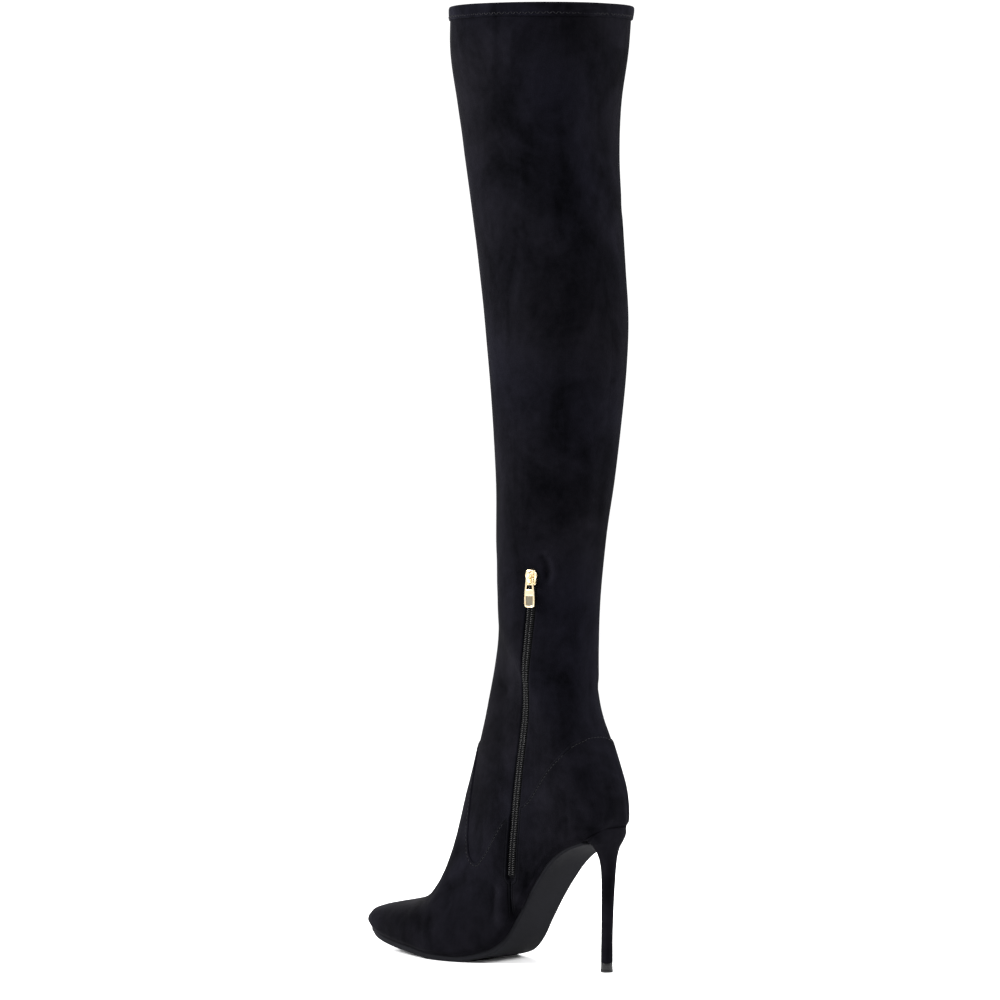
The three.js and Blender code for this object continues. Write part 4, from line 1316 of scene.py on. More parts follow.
@dataclass(frozen=True)
class Plated(Finish):
    """Polished plated metal with fine rub marks and a deeper tone in random clouds."""

    colour: Colour
    rough: float = 0.16

    def dress(self, graph: Graph, shader: Node, place: Socket) -> None:
        """Rub marks and clouds in colour and roughness."""
        marks = graph.place(EFFECTS.handling, Vector=place, Scale=260.0)
        cloud = marks.outputs["Cloud"]
        colour = graph.mix(cloud, shaded(self.colour, (0.8, 0.72, 0.6)), self.colour)
        rubbed = graph.remap(cloud, 0.0, 1.0, self.rough + 0.14, self.rough)
        rough = graph.sum_of("MULTIPLY_ADD", marks.outputs["Scratch"], 0.15, rubbed)
        fine = graph.noise(graph.stretched(place, (1.0, 1.0, 3.0)), 900.0, 3.0)
        graph.bump(shader, fine, 0.25, 0.00006)
        graph.feed_all(shader, {"Base Color": colour, "Roughness": rough, "Metallic": 1.0})


@dataclass(frozen=True)
class Woven(Finish):
    """Woven tape or knitted lining.

    Attributes:
        colour: its colour.
        threads: waves a metre, times two pi.
        depth: height of the weave in metres.
        rough: its roughness.
        gloss: its specular level.
    """

    colour: Colour
    threads: float = 7000.0
    depth: float = 0.00012
    rough: float = 0.85
    gloss: float = 0.12

    def dress(self, graph: Graph, shader: Node, place: Socket) -> None:
        """Weave in height, and in colour as painted shade that darkens where the weave sinks, with a
        cloudy tone over it.
        """
        weave = graph.place(EFFECTS.weave, Vector=place, Threads=self.threads)
        height, fluff = weave.outputs["Height"], weave.outputs["Fluff"]
        cloud = graph.remap(graph.noise(place, 45.0, 3.0), 0.38, 0.62, 0.0, 0.6)
        # Painted shade: the colour darkens where the weave's height sinks
        woven = graph.mix(height, shaded(self.colour, 0.4), self.colour)
        colour = graph.mix(cloud, woven, shaded(self.colour, 0.65))
        rough = graph.remap(fluff, 0.3, 0.7, self.rough - 0.08, self.rough + 0.06)
        graph.bump(shader, graph.sum_of("MULTIPLY_ADD", fluff, 0.4, height), 0.7, self.depth)
        graph.feed_all(
            shader, {"Base Color": colour, "Roughness": rough, "Specular IOR Level": self.gloss}
        )


@dataclass(frozen=True)
class Paper(Finish):
    """The pale floor of the studio."""

    colour: Colour

    def dress(self, graph: Graph, shader: Node, place: Socket) -> None:
        """A faint mottle in colour and roughness."""
        mottle = graph.remap(graph.noise(place, 6.0, 3.0), 0.3, 0.7)
        colour = graph.mix(mottle, self.colour, shaded(self.colour, 1.03))
        rough = graph.remap(mottle, 0.0, 1.0, 0.8, 0.9)
        graph.feed_all(shader, {"Base Color": colour, "Roughness": rough})


SUEDE = Suede("suede")
# Suede with seam lines, whose colour carries painted shade over the creases
SEWN_SUEDE = Suede("sewn_suede", seam=0.0005)
HEM_SUEDE = Suede("hem_suede", light=(0.0052, 0.0049, 0.0074), blotch=30.0)
THREAD = Thread("thread")
COLLAR_THREAD = Thread("collar_thread", (0.014, 0.0135, 0.0165))
SOLE = Smooth("sole_rubber_satin", (0.0078, 0.0079, 0.0094), 0.6, 0.72, 36.0, 0.012)
TIP = Smooth("tip_gloss", (0.006, 0.006, 0.0066), 0.14, 0.3, 260.0, 0.16, coat=0.12)
COIL = Smooth("zip_coil", (0.0015, 0.0015, 0.0018), 0.2, 0.3, 500.0, 0.13)
TAPE = Woven("zip_tape_cloth", (0.0022, 0.0022, 0.0030), gloss=0.05)
LINING = Woven("knitted_lining", (0.014, 0.013, 0.015), threads=5200.0, depth=0.0002)
BOARD = Woven("insole_cloth", (0.02, 0.019, 0.021), threads=4200.0, depth=0.0002, rough=0.8)
GOLD = Plated("gold_plate", (0.90, 0.78, 0.55))
# The same plated gold painted darker, as painted shade and dark reflection in the pull's sunk panel
GOLD_PAINTED_SHADE = Plated("gold_plate_painted_shade", (0.16, 0.15, 0.12), rough=0.3)
PAPER = Paper("studio_paper", (0.905, 0.905, 0.91))


# Millimetres of the zip line beyond the open slot, above it under the slider and below it
ZIP_START = 7
ZIP_END = 3


def seam_line(rows: Pairs) -> Array:
    """A seam's side view line at even steps of a millimetre."""
    return through(LAST.side_points(rows), MM)


def zip_gap(patch: Patch) -> Array:
    """Distance of a patch's vertices from the zip's middle line, far away on the outer side."""
    gap, _ = from_line(patch.side_view(), seam_line(ZIP_LINE)[ZIP_START:-ZIP_END])
    return np.where(patch.values["w"] > 0.05, patch.on_surface(gap), NO_ZIP)


def capped(points: Array) -> Array:
    """Rows of points, of shape (rows, k, 3), closed at both ends by a row drawn to its middle."""
    first, last = (np.broadcast_to(points[k].mean(axis=0), points[0].shape)[None] for k in (0, -1))
    return np.concatenate([first, points, last])


def swept(path: Array, first: Array, second: Array, profile: Array, closed: bool = False) -> Form:
    """A profile carried along a path: centre + first·px + second·py.

    Args:
        path: centres of shape (n, 3).
        first: direction of the profile's x, one or one at each centre.
        second: direction of its y.
        profile: closed outline of shape (k, 2), or (n, k, 2) where it changes along the path.
        closed: whether the path is a ring. An open path is closed by a point at each end.

    Returns:
        The form.
    """
    if profile.ndim == 2:
        profile = np.broadcast_to(profile, (len(path), *profile.shape))
    first, second = np.broadcast_to(first, path.shape), np.broadcast_to(second, path.shape)
    points = path[:, None] + first[:, None] * profile[..., :1] + second[:, None] * profile[..., 1:]
    points = points if closed else capped(points)
    return Form.net(points, round_rows=closed, round_columns=True).merged().outward()


def rounded(half_x: float, half_y: float, power: float, count: int = 20) -> Array:
    """A rounded outline, |x/hx|^p + |y/hy|^p = 1.

    Args:
        half_x: half width.
        half_y: half height.
        power: 2 gives an ellipse, more a squarer outline.
        count: number of points.

    Returns:
        Points of shape (count, 2).
    """
    turn = turns(count)
    ring = np.stack([np.cos(turn), np.sin(turn)], axis=1)
    return np.sign(ring) * np.abs(ring) ** (2 / power) * [half_x, half_y]


@dataclass
class Upper:
    """The stretch upper: one skin from the toe to the collar, and its lining.

    Attributes:
        wall: thickness between skin and lining.
        row_step: spacing of the skin's rows.
        column_count: columns on either side of the skin.
        front_reach: place round the section up to which the front seam is looked for.
        back_from: place beyond which the back seam is looked for.
        seam_low_front: height down to which the front seam runs.
        seam_low_back: height down to which the back seam runs.
        back_seam: place of the back seam round the section.
        under_hem: length of the skin's end that the hem covers.
    """

    wall: float = 0.0017
    row_step: float = 0.0023
    column_count: int = 88
    front_reach: float = 0.25
    back_from: float = -0.6
    seam_low_front: float = 0.145
    seam_low_back: float = 0.150
    back_seam: float = -0.825
    under_hem: float = 0.002
    lining_rows: int = 190
    lining_columns: int = 36
    lining_inset: float = 0.004

    def seam_gap(self, patch: Patch) -> Array:
        """Distance from the shaft's front seam, or from the one down the back of its outer side."""
        s, w = patch.values["s"], patch.values["w"]
        points = LAST.point(s, w)
        aside = np.abs(points[:, 1] - LAST.line.at(np.maximum(s, 0.0))[:, 8])
        in_front = (np.abs(w) < self.front_reach) & (points[:, 2] > self.seam_low_front)
        seam = LAST.point(s, np.full_like(w, self.back_seam))
        behind = np.linalg.norm(points - seam, axis=1)
        at_back = (w < self.back_from) & (points[:, 2] > self.seam_low_back)
        return np.where(at_back, behind, np.where(in_front, aside, NO_SEAM))

    def build(self) -> None:
        """Builds the skin, cut open along the zip, and the lining that closes it inside.

        A seam is a trough of 0.5 mm between two ridges of 0.2 mm that lie 2.4 mm from it.
        """
        rows = int(LAST.length / self.row_step)
        runs = np.concatenate([dome_rows(), np.linspace(0.0, LAST.length - self.under_hem, rows)])
        patch = Patch.over(runs, columns(self.column_count))
        patch.values["zip"] = zip_gap(patch)
        lips = np.array(LIPS) * MM
        patch = patch.cut("zip", lips[0, 0]).kept("zip", lips[0, 0])
        for level in lips[1:5, 0]:
            patch = patch.cut("zip", level)
        gap = self.seam_gap(patch)
        folds = relief(patch.side_view(), patch.values["w"])
        patch.values["seam_gap"] = gap
        # Crease heights in millimetres, kept to paint shade into the colour: darker in troughs, lighter
        # on ridges
        patch.values["fold"] = folds / MM
        seam = 0.0002 * dip(gap - 0.0024, 0.0012) - 0.0005 * dip(gap, 0.0009)
        off = folds + seam + np.interp(patch.values["zip"], lips[:, 0], lips[:, 1])
        skin = patch.form(off, ("seam_gap", "fold")).merged().outward()
        skin.placed("upper_skin", SEWN_SUEDE, "suede", stands_for=("upper",))
        self.build_lining()

    def build_lining(self) -> None:
        """Builds the lining a wall's thickness inside the skin, its faces towards the leg."""
        ends = self.lining_inset, LAST.length - self.lining_inset
        patch = Patch.over(np.linspace(*ends, self.lining_rows), columns(self.lining_columns))
        off = relief(patch.side_view(), patch.values["w"]) - self.wall
        lining = patch.form(off).merged().outward(inwards=True)
        lining.placed("lining", LINING, "insole_lining")


@dataclass
class Overlay:
    """A piece of the foot laid over the skin, with a turned and stitched edge.

    Attributes:
        name: the piece's name.
        node: the CAD node that it stands for.
        first_knot: section of the last at which it starts, or None for the tip of the nose.
        last_knot: section at which it ends.
        seam: its stitched edge in side view.
        outline: its closed outline in side view.
        back_seam: whether a seam runs down its back.
        thickness: how far it stands over the skin.
        sunk: how far its edge lies in the skin.
        edge_round: width of the rounded edge.
        inset: distance of the stitches from the edge.
        row_step: spacing of its rows.
        column_count: columns on either side.
        zip_clear: distance that it keeps from the zip's middle line.
        back_line: place of the back seam round the section.
        stitch_top: height over which the stitches run across the tongue.
        stitch_reach: side view distance from the seam within which it is stitched.
        stitch_clear: side view distance that the stitches keep from the zip.
    """

    name: str
    node: str
    first_knot: int | None
    last_knot: int
    seam: Array
    outline: Array
    back_seam: bool = False
    thickness: float = 0.00125
    sunk: float = 0.00015
    edge_round: float = 0.0009
    inset: float = 0.0019
    row_step: float = 0.0013
    column_count: int = 84
    zip_clear: float = 0.0037
    back_line: float = -0.87
    stitch_top: float = 0.1452
    stitch_reach: float = 0.0042
    stitch_clear: float = 0.0058

    @classmethod
    def vamp(cls) -> "Overlay":
        """The front piece: tongue, sides and toe."""
        seam = seam_line(FOOT_SEAM[:VAMP_SEAM_COUNT])
        ahead = LAST.side_points([(1.15, 0.0)])[0, 0]
        outline = np.vstack([[[ahead, BELOW], [ahead, seam[0, 1]]], seam, cls.side_seam()])
        return cls("vamp", "vamp_overlay", None, 17, seam, outline)

    @classmethod
    def counter(cls) -> "Overlay":
        """The rear piece round the heel."""
        seam = seam_line(FOOT_SEAM[VAMP_SEAM_COUNT - 1:])
        behind = LAST.side_points([(-0.15, 0.0)])[0, 0]
        outline = np.vstack([cls.side_seam()[::-1], seam, [[behind, seam[-1, 1]], [behind, BELOW]]])
        return cls("counter", "counter_overlay", 9, 27, seam, outline, back_seam=True)

    @staticmethod
    def side_seam() -> Array:
        """The line between the two pieces, down along the zip and on to the sole."""
        low = LAST.side_points([(0.317, 0.112), (0.342, -0.178), (0.345, -0.550)])
        return np.vstack([through(low, MM), [[low[-1, 0], BELOW]]])

    def edge_of(self, patch: Patch) -> Array:
        """Distance inside the piece's edge along the surface, below 0 outside it."""
        view = patch.side_view()
        near = np.minimum(from_line(view, self.seam)[0], from_line(view, self.side_seam())[0])
        sign = np.where(inside(view, self.outline), 1.0, -1.0)
        return np.minimum(patch.on_surface(sign * near), zip_gap(patch) - self.zip_clear)

    def net(self) -> Patch:
        """The piece's own patch of the last, cut along its edge and along the lines beside it."""
        knots = LAST.line.knots
        start = 0.0 if self.first_knot is None else float(knots[self.first_knot])
        end = float(knots[self.last_knot])
        runs = np.linspace(start, end, int((end - start) / self.row_step))
        if self.first_knot is None:
            runs = np.concatenate([dome_rows(8), runs])
        patch = Patch.over(runs, columns(self.column_count))
        patch.values["edge"] = self.edge_of(patch)
        patch = patch.cut("edge", 0.0).kept("edge", 0.0)
        for level in (0.0001, 0.0003, self.edge_round, self.inset, 0.0030):
            patch = patch.cut("edge", level)
        return patch

    def build(self) -> None:
        """Builds the piece and its stitches.

        The edge rises in a quarter circle, thickness·sqrt(1 − (1 − d/r)²), and the piece sinks
        into the skin towards the sole. The stitch line lies in a furrow of 0.22 mm and the seam
        down the back in a trough of 0.4 mm.
        """
        patch = self.net()
        s, w, edge = (patch.values[name] for name in ("s", "w", "edge"))
        view = patch.side_view()
        rise = self.thickness * np.sqrt(1 - (1 - np.clip(edge / self.edge_round, 0.0, 1.0)) ** 2)
        furrow = -0.00022 * dip(edge - self.inset, 0.0006)
        folds = relief(view, w)
        off = (rise + furrow) * ease(LAST.above_low(s, view), 0.0005, 0.0050) - self.sunk + folds
        gap = np.abs(edge - self.inset)
        if self.back_seam:
            seam = LAST.point(s, np.full_like(w, self.back_line))
            aside = np.where(w < -0.6, np.linalg.norm(LAST.point(s, w) - seam, axis=1), NO_SEAM)
            off = off - 0.0004 * dip(aside, 0.0009)
            gap = np.minimum(gap, aside)
        patch.values["seam_gap"] = gap
        # Crease heights in millimetres, kept to paint shade into the colour: darker in troughs, lighter
        # on ridges
        patch.values["fold"] = folds / MM
        form = patch.form(off, ("seam_gap", "fold")).merged().outward()
        form.placed(self.name, SEWN_SUEDE, "suede", stands_for=(self.node,))
        stitches = Form.of_all([Stitching().row(trail) for trail in self.trails(patch, off)])
        stitches.placed(f"{self.name}_stitches", THREAD, "suede_trim")

    def trails(self, patch: Patch, off: Array) -> list[Trail]:
        """The stitch line on the inner and on the outer side, in the order of the seam.

        The vertices that were cut along the inset level are sorted by where they lie along the
        seam, and by their place round the section where the seam crosses the front.

        Args:
            patch: the piece's patch.
            off: its offsets.

        Returns:
            One trail a side.
        """
        found = []
        view, (s, w) = patch.side_view(), (patch.values[name] for name in ("s", "w"))
        gap, share = from_line(view, self.seam)
        stitched = (patch.values["edge"] == self.inset) & (gap < self.stitch_reach)
        from_zip, _ = from_line(view, seam_line(ZIP_LINE))
        clear = from_zip > self.stitch_clear
        for chosen in (stitched & clear & (w > 0.0), stitched & (w < 0.0)):
            here_s, here_w = s[chosen], w[chosen]
            on_top = LAST.point(here_s, here_w)[:, 2] > self.stitch_top
            order = np.argsort(np.where(on_top, np.abs(here_w) - 1.0, share[chosen]))
            points = LAST.point(here_s, here_w, off[chosen])[order]
            normals = LAST.normal(here_s, here_w)[order]
            found.append(Trail(self.evened(points), unit(self.evened(normals))))
        return found

    @staticmethod
    def evened(values: Array) -> Array:
        """Running mean of five, with the ends held."""
        padded = np.vstack([values[:1]] * 2 + [values] + [values[-1:]] * 2)
        return sum(padded[k: k + len(values)] for k in range(5)) / 5


@dataclass
class Hem:
    """The folded hem round the collar, with its zigzag stitch.

    Attributes:
        depth: share of the profile's depth.
        stitch_down: distance of the stitch from the collar.
        stitch_lift: how far its path lies over the skin.
        zigzag: its swing to either side.
    """

    depth: float = 0.86
    stitch_down: float = 0.0070
    stitch_lift: float = 0.00085
    zigzag: float = 0.0009
    profile_step: float = 0.0004
    column_count: int = 120
    trail_count: int = 900

    def build(self) -> None:
        """Carries the profile round the collar, in slight waves, and sews it."""
        profile = through(np.array(HEM_PROFILE) * MM * [self.depth, 1.0], self.profile_step)
        w = columns(self.column_count)
        down, around = np.meshgrid(profile[:, 0], w, indexing="ij")
        wave = sum(h * np.sin(k * math.pi * around + phase) for h, k, phase in HEM_WAVES)
        off = (profile[:, 1:] + wave).ravel()
        s = LAST.at_height(LAST.collar_height - down.ravel())
        points = LAST.point(s, around.ravel(), off)
        points[:, 2] = np.minimum(points[:, 2], LAST.collar_height)
        form = Form.net(points.reshape(*down.shape, 3)).merged().outward()
        form.placed("collar_hem", HEM_SUEDE, "suede_trim", stands_for=("collar_binding",))
        w = np.linspace(-0.9999, 0.9999, self.trail_count)
        s = LAST.at_height(np.full_like(w, LAST.collar_height - self.stitch_down))
        trail = Trail(LAST.point(s, w, self.stitch_lift), LAST.normal(s, w))
        stitch = Stitching(pitch=0.0020, length=0.0020, swing=self.zigzag)
        stitch.row(trail).placed("hem_stitches", COLLAR_THREAD, "suede_trim")


@dataclass
class Sole:
    """Thin outsole from the toe to the breast of the heel.

    Attributes:
        thickness: thickness under the forefoot.
        shank: thickness under the shank.
        sunk: how far its top lies in the foot.
        edge: how far it stands back from the foot's edge.
        nose: how far its nose reaches ahead of the first section.
        corner: radius of its top edge.
        low_corner: radius of its bottom edge, or 0.45 of the depth where that is less.
        crown: how far the bottom bulges.
        least: least half width.
        thin_from: section at which the shank begins.
        thin_to: section from which it is thin.
        end_knot: section at which it ends.
        end_over: how far it runs on past that section.
    """

    thickness: float = 0.0039
    shank: float = 0.0022
    sunk: float = 0.0004
    edge: float = 0.0004
    nose: float = 0.0021
    corner: float = 0.0004
    low_corner: float = 0.0013
    crown: float = 0.00025
    least: float = 0.001
    thin_from: int = 9
    thin_to: int = 12
    end_knot: int = 17
    end_over: float = 0.002
    row_step: float = 0.0016
    nose_rows: int = 8

    def section(self, half_in: Array, half_out: Array, depth: Array) -> Array:
        """Outlines across the sole.

        From the top's inner corner down a rounded edge, over a slightly crowned bottom, and up
        the outer edge. The corners are quarter circles.

        Args:
            half_in: half width on the inner side of each row.
            half_out: half width on the outer side.
            depth: depth of the bottom under the top, of each row.

        Returns:
            Points (y, depth) of shape (rows, points, 2).
        """
        half_in, half_out, depth = half_in[:, None], half_out[:, None], depth[:, None]
        turn = np.linspace(0.0, math.pi / 2, 6)
        low, high = np.minimum(self.low_corner, depth * 0.45), self.corner
        zero = np.zeros_like(depth)
        top_y, top_d = -high * (1 - np.sin(turn)), -high * (1 - np.cos(turn))
        low_y, low_d = -low * (1 - np.cos(turn)), low * (1 - np.sin(turn)) - depth
        edge_y = np.concatenate([zero + top_y, low_y], axis=1)
        edge_d = np.concatenate([zero + top_d, low_d], axis=1)
        across = np.linspace(0.94, -0.94, 15)
        bottom_y = np.where(across > 0, half_in - low, half_out - low) * across
        bottom_d = -depth - self.crown * (1 - across**2)
        over = np.linspace(-0.97, 0.97, 9)
        over_y = np.where(over > 0, half_in - high, half_out - high) * over
        sides = half_in + edge_y, bottom_y, -(half_out + edge_y)[:, ::-1], over_y
        depths = edge_d, bottom_d, edge_d[:, ::-1], zero + np.zeros_like(over)
        return np.stack([np.concatenate(sides, axis=1), np.concatenate(depths, axis=1)], axis=-1)

    def build(self) -> None:
        """Carries the outline under the foot, rounds the nose and flattens it on the floor."""
        knots = LAST.line.knots
        end = float(knots[self.end_knot]) + self.end_over
        runs = np.linspace(0.0, end, int(end / self.row_step))
        nose_turn = np.linspace(math.pi / 2, 0.0, self.nose_rows + 1)[:-1]
        turn = np.concatenate([nose_turn, np.zeros(len(runs))])
        runs = np.concatenate([np.zeros(self.nose_rows), runs])
        rows = LAST.line.at(runs)
        front, low, swing = rows[:, 0:2], rows[:, 2:4], rows[:, 8]
        share = ease(runs, float(knots[self.thin_from]), float(knots[self.thin_to]))
        depth = self.thickness + (self.shank - self.thickness) * share + self.sunk
        nose_width = np.maximum(np.cos(turn), 0.02) ** 0.8
        half_in, half_out = (
            np.maximum(rows[:, k] - self.edge, self.least) * nose_width for k in (6, 7)
        )
        section = self.section(half_in, half_out, depth)
        axis = unit(front - low)
        ahead, behind = LAST.line.at(np.array([0.0, 0.004]))[:, 2:4]
        base = low + axis * self.sunk + unit(ahead - behind) * (self.nose * np.sin(turn))[:, None]
        x = base[:, None, 0] + axis[:, None, 0] * section[..., 1]
        z = base[:, None, 1] + axis[:, None, 1] * section[..., 1]
        points = np.stack([x, swing[:, None] + section[..., 0], np.maximum(z, 0.0)], axis=-1)
        form = Form.net(capped(points), round_columns=True).merged().outward()
        form.placed("outsole", SOLE, "sole_rubber", stands_for=("sole",))


@dataclass
class Heel:
    """The covered stiletto and its hard tip.

    Attributes:
        start: height at which the cover begins over the tip.
        cap: height over which either end closes.
        meets: room under the foot within which the top is drawn in.
        seated: how far the top reaches into the foot.
    """

    start: float = 0.0062
    cap: float = 0.001
    meets: float = 0.0012
    seated: float = 0.0003
    ring: int = 72
    rows: int = 110
    tip_ring: int = 64

    def surface(self, z: Array, turn: Array) -> Array:
        """Points of the heel: ellipses whose ends and half width follow the table.

        Past either end of the table the ellipse shrinks to a point, which closes the form.

        Args:
            z: heights of shape (n,).
            turn: angles round the ellipse.

        Returns:
            Points of shape (n, 3).
        """
        table = np.array(HEEL_ROWS)
        line = Line(table[:, 0] * LAST.heel_height, table[:, 1:] * MM)
        top = float(line.knots[-1])
        held = np.clip(z, self.start, top)
        back, front, half = line.at(held).T
        over, under = (z - top) / self.cap, (self.start - z) / self.cap
        shrink = 1 - np.clip(over, 0.0, 1.0) - np.clip(under, 0.0, 1.0)
        x = (back + front) / 2 + (front - back) / 2 * shrink * np.cos(turn) + LAST.shift_x
        return np.stack([x, half * shrink * np.sin(turn), held], axis=1)

    def seat(self, x: Array) -> Array:
        """Height of the foot's low line over places along the boot."""
        fine = np.linspace(float(LAST.line.knots[12]), float(LAST.line.knots[20]), 400)
        low = LAST.line.at(fine)[:, 2:4]
        return np.interp(x, low[::-1, 0], low[::-1, 1])

    def build(self) -> None:
        """Builds the heel up to the underside of the foot, and the tip below it."""
        top = HEEL_ROWS[-1][0] * LAST.heel_height
        foot_cap = [self.start - self.cap, self.start - self.cap / 2]
        body = np.linspace(self.start, top, self.rows)
        heights = np.concatenate([foot_cap, body, [top + 0.4 * self.cap, top + self.cap]])
        patch = Patch.over(heights, np.linspace(0.0, 2 * math.pi, self.ring + 1))
        points = self.surface(patch.values["s"], patch.values["w"])
        patch.values["room"] = self.seat(points[:, 0]) - points[:, 2]
        patch = patch.cut("room", 0.0).cut("room", self.meets)
        points = self.surface(patch.values["s"], patch.values["w"])
        points[:, 2] = np.minimum(points[:, 2], self.seat(points[:, 0]) + self.seated)
        points[:, 1] *= 1 - 0.03 * (1 - ease(patch.values["room"], 0.0, self.meets))
        cover = Form(points, patch.faces).merged().outward()
        cover.placed("heel_cover", SUEDE, "suede", stands_for=("heel",))
        self.build_tip()

    def build_tip(self) -> None:
        """Turns the tip's profile round the heel's foot."""
        radius, height = (column[:, None] for column in (np.array(TIP_PROFILE) * MM).T)
        turn = turns(self.tip_ring)
        low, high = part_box("heel_tip")
        x = (low[0] + high[0]) / 2 + radius * np.cos(turn)
        y = (low[1] + high[1]) / 2 + radius * np.sin(turn)
        points = np.stack([x, y, np.broadcast_to(height, x.shape)], axis=-1)
        form = Form.net(points, round_columns=True).merged().outward()
        form.placed("top_piece", TIP, "hard_rubber", stands_for=("heel_tip",))


@dataclass
class Zip:
    """The closed coil zip on the inner side, with its tape, slider and pull.

    Attributes:
        pitch: spacing of the coil's turns on one side.
        coil_half: half width of the coil.
        overlap: how far a turn reaches past the middle line.
        wire: radius of the coil's wire.
        depth: offset of the coil from the skin.
        tape_half: half width of the tape.
        tape_thick: half its thickness.
        tape_depth: its offset from the skin.
        leg_radius: radius that the tape is bent to.
        coil_start: length of the zip line above the first turn.
        coil_rest: length of the line that has no turns.
        lean: how far a turn leans along the zip.
        pivot_height: height of the pull's hinge over the slider's foot.
        half_length: half length of the pull's frame, in millimetres.
    """

    pitch: float = 0.00120
    coil_half: float = 0.0031
    overlap: float = 0.0001
    wire: float = 0.00034
    wire_sides: int = 6
    depth: float = -0.00075
    tape_half: float = 0.0072
    tape_thick: float = 0.00022
    tape_depth: float = -0.00135
    leg_radius: float = 0.034
    coil_start: float = 0.004
    coil_rest: float = 0.006
    lean: float = 0.0003
    pivot_height: float = 0.0036
    half_length: float = 9.25

    def trail(self, off: float) -> Trail:
        """The zip's middle line on the skin, with the skin's own creases, at an offset."""
        view = seam_line(ZIP_LINE)
        s, w = LAST.locate(view, Side.INNER)
        return Trail(LAST.point(s, w, relief(view, w) + off), LAST.normal(s, w))

    def build(self) -> None:
        """Builds the tape, the coil, the slider and the pull."""
        self.build_tape()
        self.build_coil()
        self.build_slider()
        self.build_pull()

    def build_tape(self) -> None:
        """A flat strip along the zip, bent round the leg by y²/2R."""
        trail = self.trail(self.tape_depth)
        point, _, across, normal = trail.at(np.linspace(0.0, trail.run[-1], 150))
        profile = rounded(self.tape_half, self.tape_thick, 8.0, 48)
        profile[:, 1] -= profile[:, 0] ** 2 / (2 * self.leg_radius)
        form = swept(point, across, normal, profile)
        form.placed("zip_tape_strip", TAPE, "zip_textile", stands_for=("zip_tape",))

    def build_coil(self) -> None:
        """Two rows of bent bars that meet in the middle.

        Each bar runs in from the tape, rises as sin(πu) and ends past the middle line, and the
        two rows stand half a pitch apart.
        """
        trail = self.trail(self.depth)
        share = np.array([0.0, 0.06, 0.25, 0.5, 0.78, 0.94, 1.0])
        radii = np.array([0.0, 0.8, 1.0, 1.0, 1.2, 0.9, 0.0]) * self.wire
        reach = self.coil_half - (self.coil_half + self.overlap) * share
        height = 0.0001 + 0.00055 * np.sin(math.pi * (0.1 + 0.75 * share))
        count = int((trail.run[-1] - self.coil_rest) / self.pitch)
        rows = []
        for side, start in ((1.0, 0.0), (-1.0, 0.5)):
            run = self.coil_start + (np.arange(count) + start) * self.pitch
            point, along, across, normal = trail.at(run[:, None] + (share[None] - 0.5) * self.lean)
            centre = point + across * (side * reach)[:, None] + normal * height[:, None]
            rows.append(tubes(centre, along, normal, radii, self.wire_sides))
        Form.of_all(rows).placed("zip_coil", COIL, "zip_nylon", stands_for=("zip_chain",))

    def seat(self) -> tuple[Array, Array, Array, Array]:
        """Where the slider stands: its place, across, up and outward directions."""
        joints = frame["record"]["behaviour"]["joints"]
        joint = next(j for j in joints if j["name"] == "pull_hinge")
        pivot = np.array(joint["pos_m"])
        across = -unit(np.array(joint["axis"], dtype=float))
        trail = self.trail(0.0)
        outward = trail.normals[int(np.argmin(np.linalg.norm(trail.points - pivot, axis=1)))]
        outward = unit(outward - across * float(outward @ across))
        return pivot - outward * self.pivot_height, across, np.cross(outward, across), outward

    def build_slider(self) -> None:
        """The body, grooved on either side of the bridge, its two flanges and the bridge."""
        place, across, up, outward = self.seat()
        table = np.array(SLIDER_ROWS)
        v = np.linspace(table[0, 0], table[-1, 0], 60)
        sizes = Line(table[:, 0], table[:, 1:]).at(v)
        section = rounded(1.0, 1.0, 4.0, 64)[None] * sizes[:, None, :]
        ends = ease(v, -4.2, -3.2) * (1 - ease(v, 3.0, 4.2))
        groove = dip(np.abs(section[..., 0]) - 1.75, 0.45) * ends[:, None]
        section[..., 1] -= np.where(section[..., 1] > 0, 0.75 * groove, 0.0)
        path = place + up * (v[:, None] * MM)
        parts = [swept(path + outward * (1.35 * MM), across, outward, section * MM)]
        for side in (1.0, -1.0):
            shifted = path + across * ((sizes[:, :1] - 0.3) * side * MM) + outward * (0.5 * MM)
            parts.append(swept(shifted, across, outward, rounded(0.42 * MM, 0.9 * MM, 3.0, 16)))
        bend = through(np.array(BRIDGE) * MM, 0.0002)
        path = place + up * bend[:, :1] + outward * bend[:, 1:]
        over = unit(np.cross(np.gradient(path, axis=0), across))
        parts.append(swept(path, across, over, rounded(0.95 * MM, 0.45 * MM, 3.4, 20)))
        Form.of_all(parts).placed("slider", GOLD, "gold", stands_for=("zip_slider",))

    def pull_half(self, depth: Array) -> Array:
        """Half width of the pull's frame at a depth under the hinge, both in millimetres."""
        return 2.2 + 0.9 * ease(depth, 1.0, 13.0)

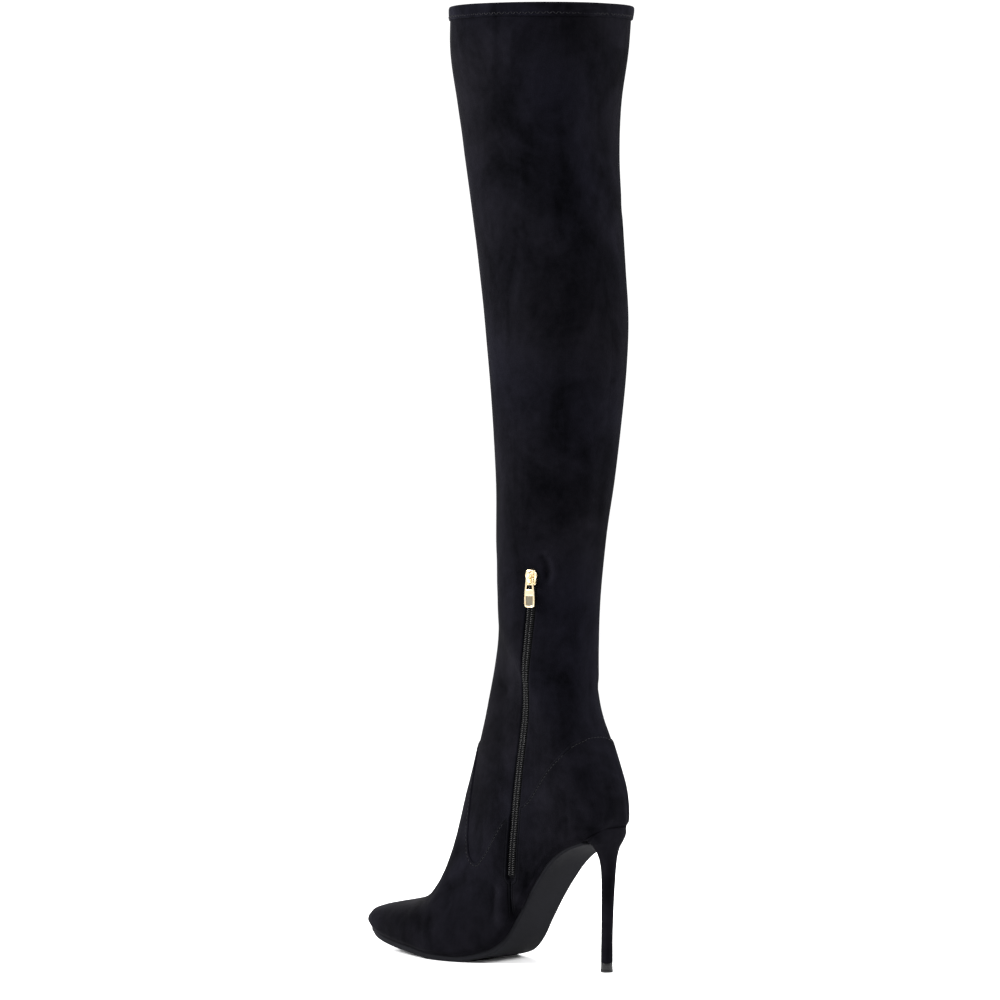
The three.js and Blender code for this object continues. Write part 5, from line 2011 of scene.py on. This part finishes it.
    def build_pull(self) -> None:
        """A tapered frame that hangs plumb from the bridge, a block across it and a sunk panel.

        The frame's path is a rounded rectangle whose half width grows on the way down. The block
        and the panel are rounded plates as wide as the frame. The panel is the same gold painted
        darker, as painted shade and dark reflection in the recess.
        """
        place, across, _, outward = self.seat()
        pivot = place + outward * self.pivot_height
        down = np.array([0.0, 0.0, -1.0])
        face = unit(np.cross(across, down))
        face = face * np.sign(face @ outward)
        ring = rounded(1.0, 1.0, 7.0, 120)
        depth = (ring[:, 1:] + 1.0) * self.half_length
        path = pivot + across * (ring[:, :1] * self.pull_half(depth) * MM) + down * (depth * MM)
        along = unit(np.roll(path, -1, axis=0) - np.roll(path, 1, axis=0))
        bar = rounded(0.62 * MM, 0.66 * MM, 2.8, 16)
        parts = [swept(path, np.cross(along, face), face, bar, closed=True)]
        for top, foot, thick, inner in PLATES:
            v = np.linspace(top, foot, 40)
            edge = np.sqrt(np.clip(1 - (2 * (v - top) / (foot - top) - 1) ** 8, 0.0, 1.0))
            sizes = np.stack([self.pull_half(v) - inner, thick * edge], axis=1)
            section = rounded(1.0, 1.0, 5.0, 40)[None] * sizes[:, None, :] * MM
            parts.append(swept(pivot + down * (v[:, None] * MM), across, face, section))
        tab = Form.of_all(parts[:2])
        tab.placed("zip_tab", GOLD, "gold", body="pull", stands_for=("zip_pull",))
        # The panel's gold is painted dark: painted shade and dark reflection in the recess
        parts[2].placed("zip_tab_panel", GOLD_PAINTED_SHADE, "gold", body="pull")


@dataclass
class Studio:
    """Floor, light and camera."""

    lens: float = 188.8
    sensor: float = 36.0
    place: tuple[float, float, float] = (-2.3209, 2.5730, 0.4338)
    look: tuple[float, float, float] = (0.66913, -0.74314, 0.0)
    shift_y: float = -0.197
    floor_middle: float = 0.3
    floor_radius: float = 14.0
    sky: float = 1.12
    spread: float = 70.0
    lit: tuple[float, float, float] = (0.0, 0.0, 0.55)

    def build(self) -> None:
        """Builds the whole studio."""
        self.build_floor()
        self.build_lights()
        self.build_camera()

    def build_floor(self) -> None:
        """A wide round floor, its rings closer together in the middle."""
        ring = np.concatenate([[0.0], np.geomspace(self.floor_middle, self.floor_radius, 14)])
        turn = turns(64)
        x, y = ring[:, None] * np.cos(turn), ring[:, None] * np.sin(turn)
        form = Form.net(np.stack([x, y, np.zeros_like(x)], axis=-1), round_columns=True)
        floor = form.shown("floor", PAPER)
        if floor.data.polygons[len(floor.data.polygons) // 2].normal.z < 0:
            floor.data.flip_normals()

    @staticmethod
    def stood(name: str, data: bpy.types.ID, place: Sequence[float], along: Vector) -> bpy.types.Object:
        """Stands a lamp or a camera in the scene.

        Args:
            name: its name.
            data: the lamp or the camera.
            place: where it stands.
            along: the direction that it looks in.

        Returns:
            The object.
        """
        holder = bpy.data.objects.new(name, data)
        holder.location = place
        holder.rotation_mode = "QUATERNION"
        holder.rotation_quaternion = along.to_track_quat("-Z", "Y")
        bpy.context.scene.collection.objects.link(holder)
        return holder

    def build_lights(self) -> None:
        """A pale sky all round and three large soft lamps."""
        world = bpy.data.worlds.new("studio_sky")
        bpy.context.scene.world = world
        world.use_nodes = True
        sky = next(n for n in world.node_tree.nodes if n.type == "BACKGROUND")
        sky.inputs["Color"].default_value = (1.0, 1.0, 1.0, 1.0)
        sky.inputs["Strength"].default_value = self.sky
        for name, spot, size, power in LAMPS:
            lamp = bpy.data.lights.new(name, "AREA")
            lamp.shape = "DISK"
            lamp.size = size
            lamp.energy = power
            lamp.spread = math.radians(self.spread)
            self.stood(name, lamp, spot, Vector(self.lit) - Vector(spot))
        bpy.context.scene.view_settings.view_transform = "Standard"

    def build_camera(self) -> None:
        """The photograph's viewpoint: level, behind the boot and on its inner side."""
        camera = bpy.data.cameras.new("camera")
        camera.lens = self.lens
        camera.sensor_width = self.sensor
        camera.shift_y = self.shift_y
        camera.clip_start, camera.clip_end = 0.1, 60.0
        bpy.context.scene.camera = self.stood("camera", camera, self.place, Vector(self.look))


def dress_node(name: str, finish: Finish) -> None:
    """Gives a CAD node a finish of its own."""
    node = frame["nodes"][name]
    node.data.materials.clear()
    node.data.materials.append(finish.material())
    log.info("%s: CAD node, dressed", name)


def main() -> None:
    """Builds the boot's looks in order."""
    logging.basicConfig(level=logging.INFO, format="%(message)s")
    Studio().build()
    Upper().build()
    Overlay.vamp().build()
    Overlay.counter().build()
    Hem().build()
    Sole().build()
    dress_node("insole", BOARD)
    Heel().build()
    Zip().build()


if __name__ == "__main__":
    main()
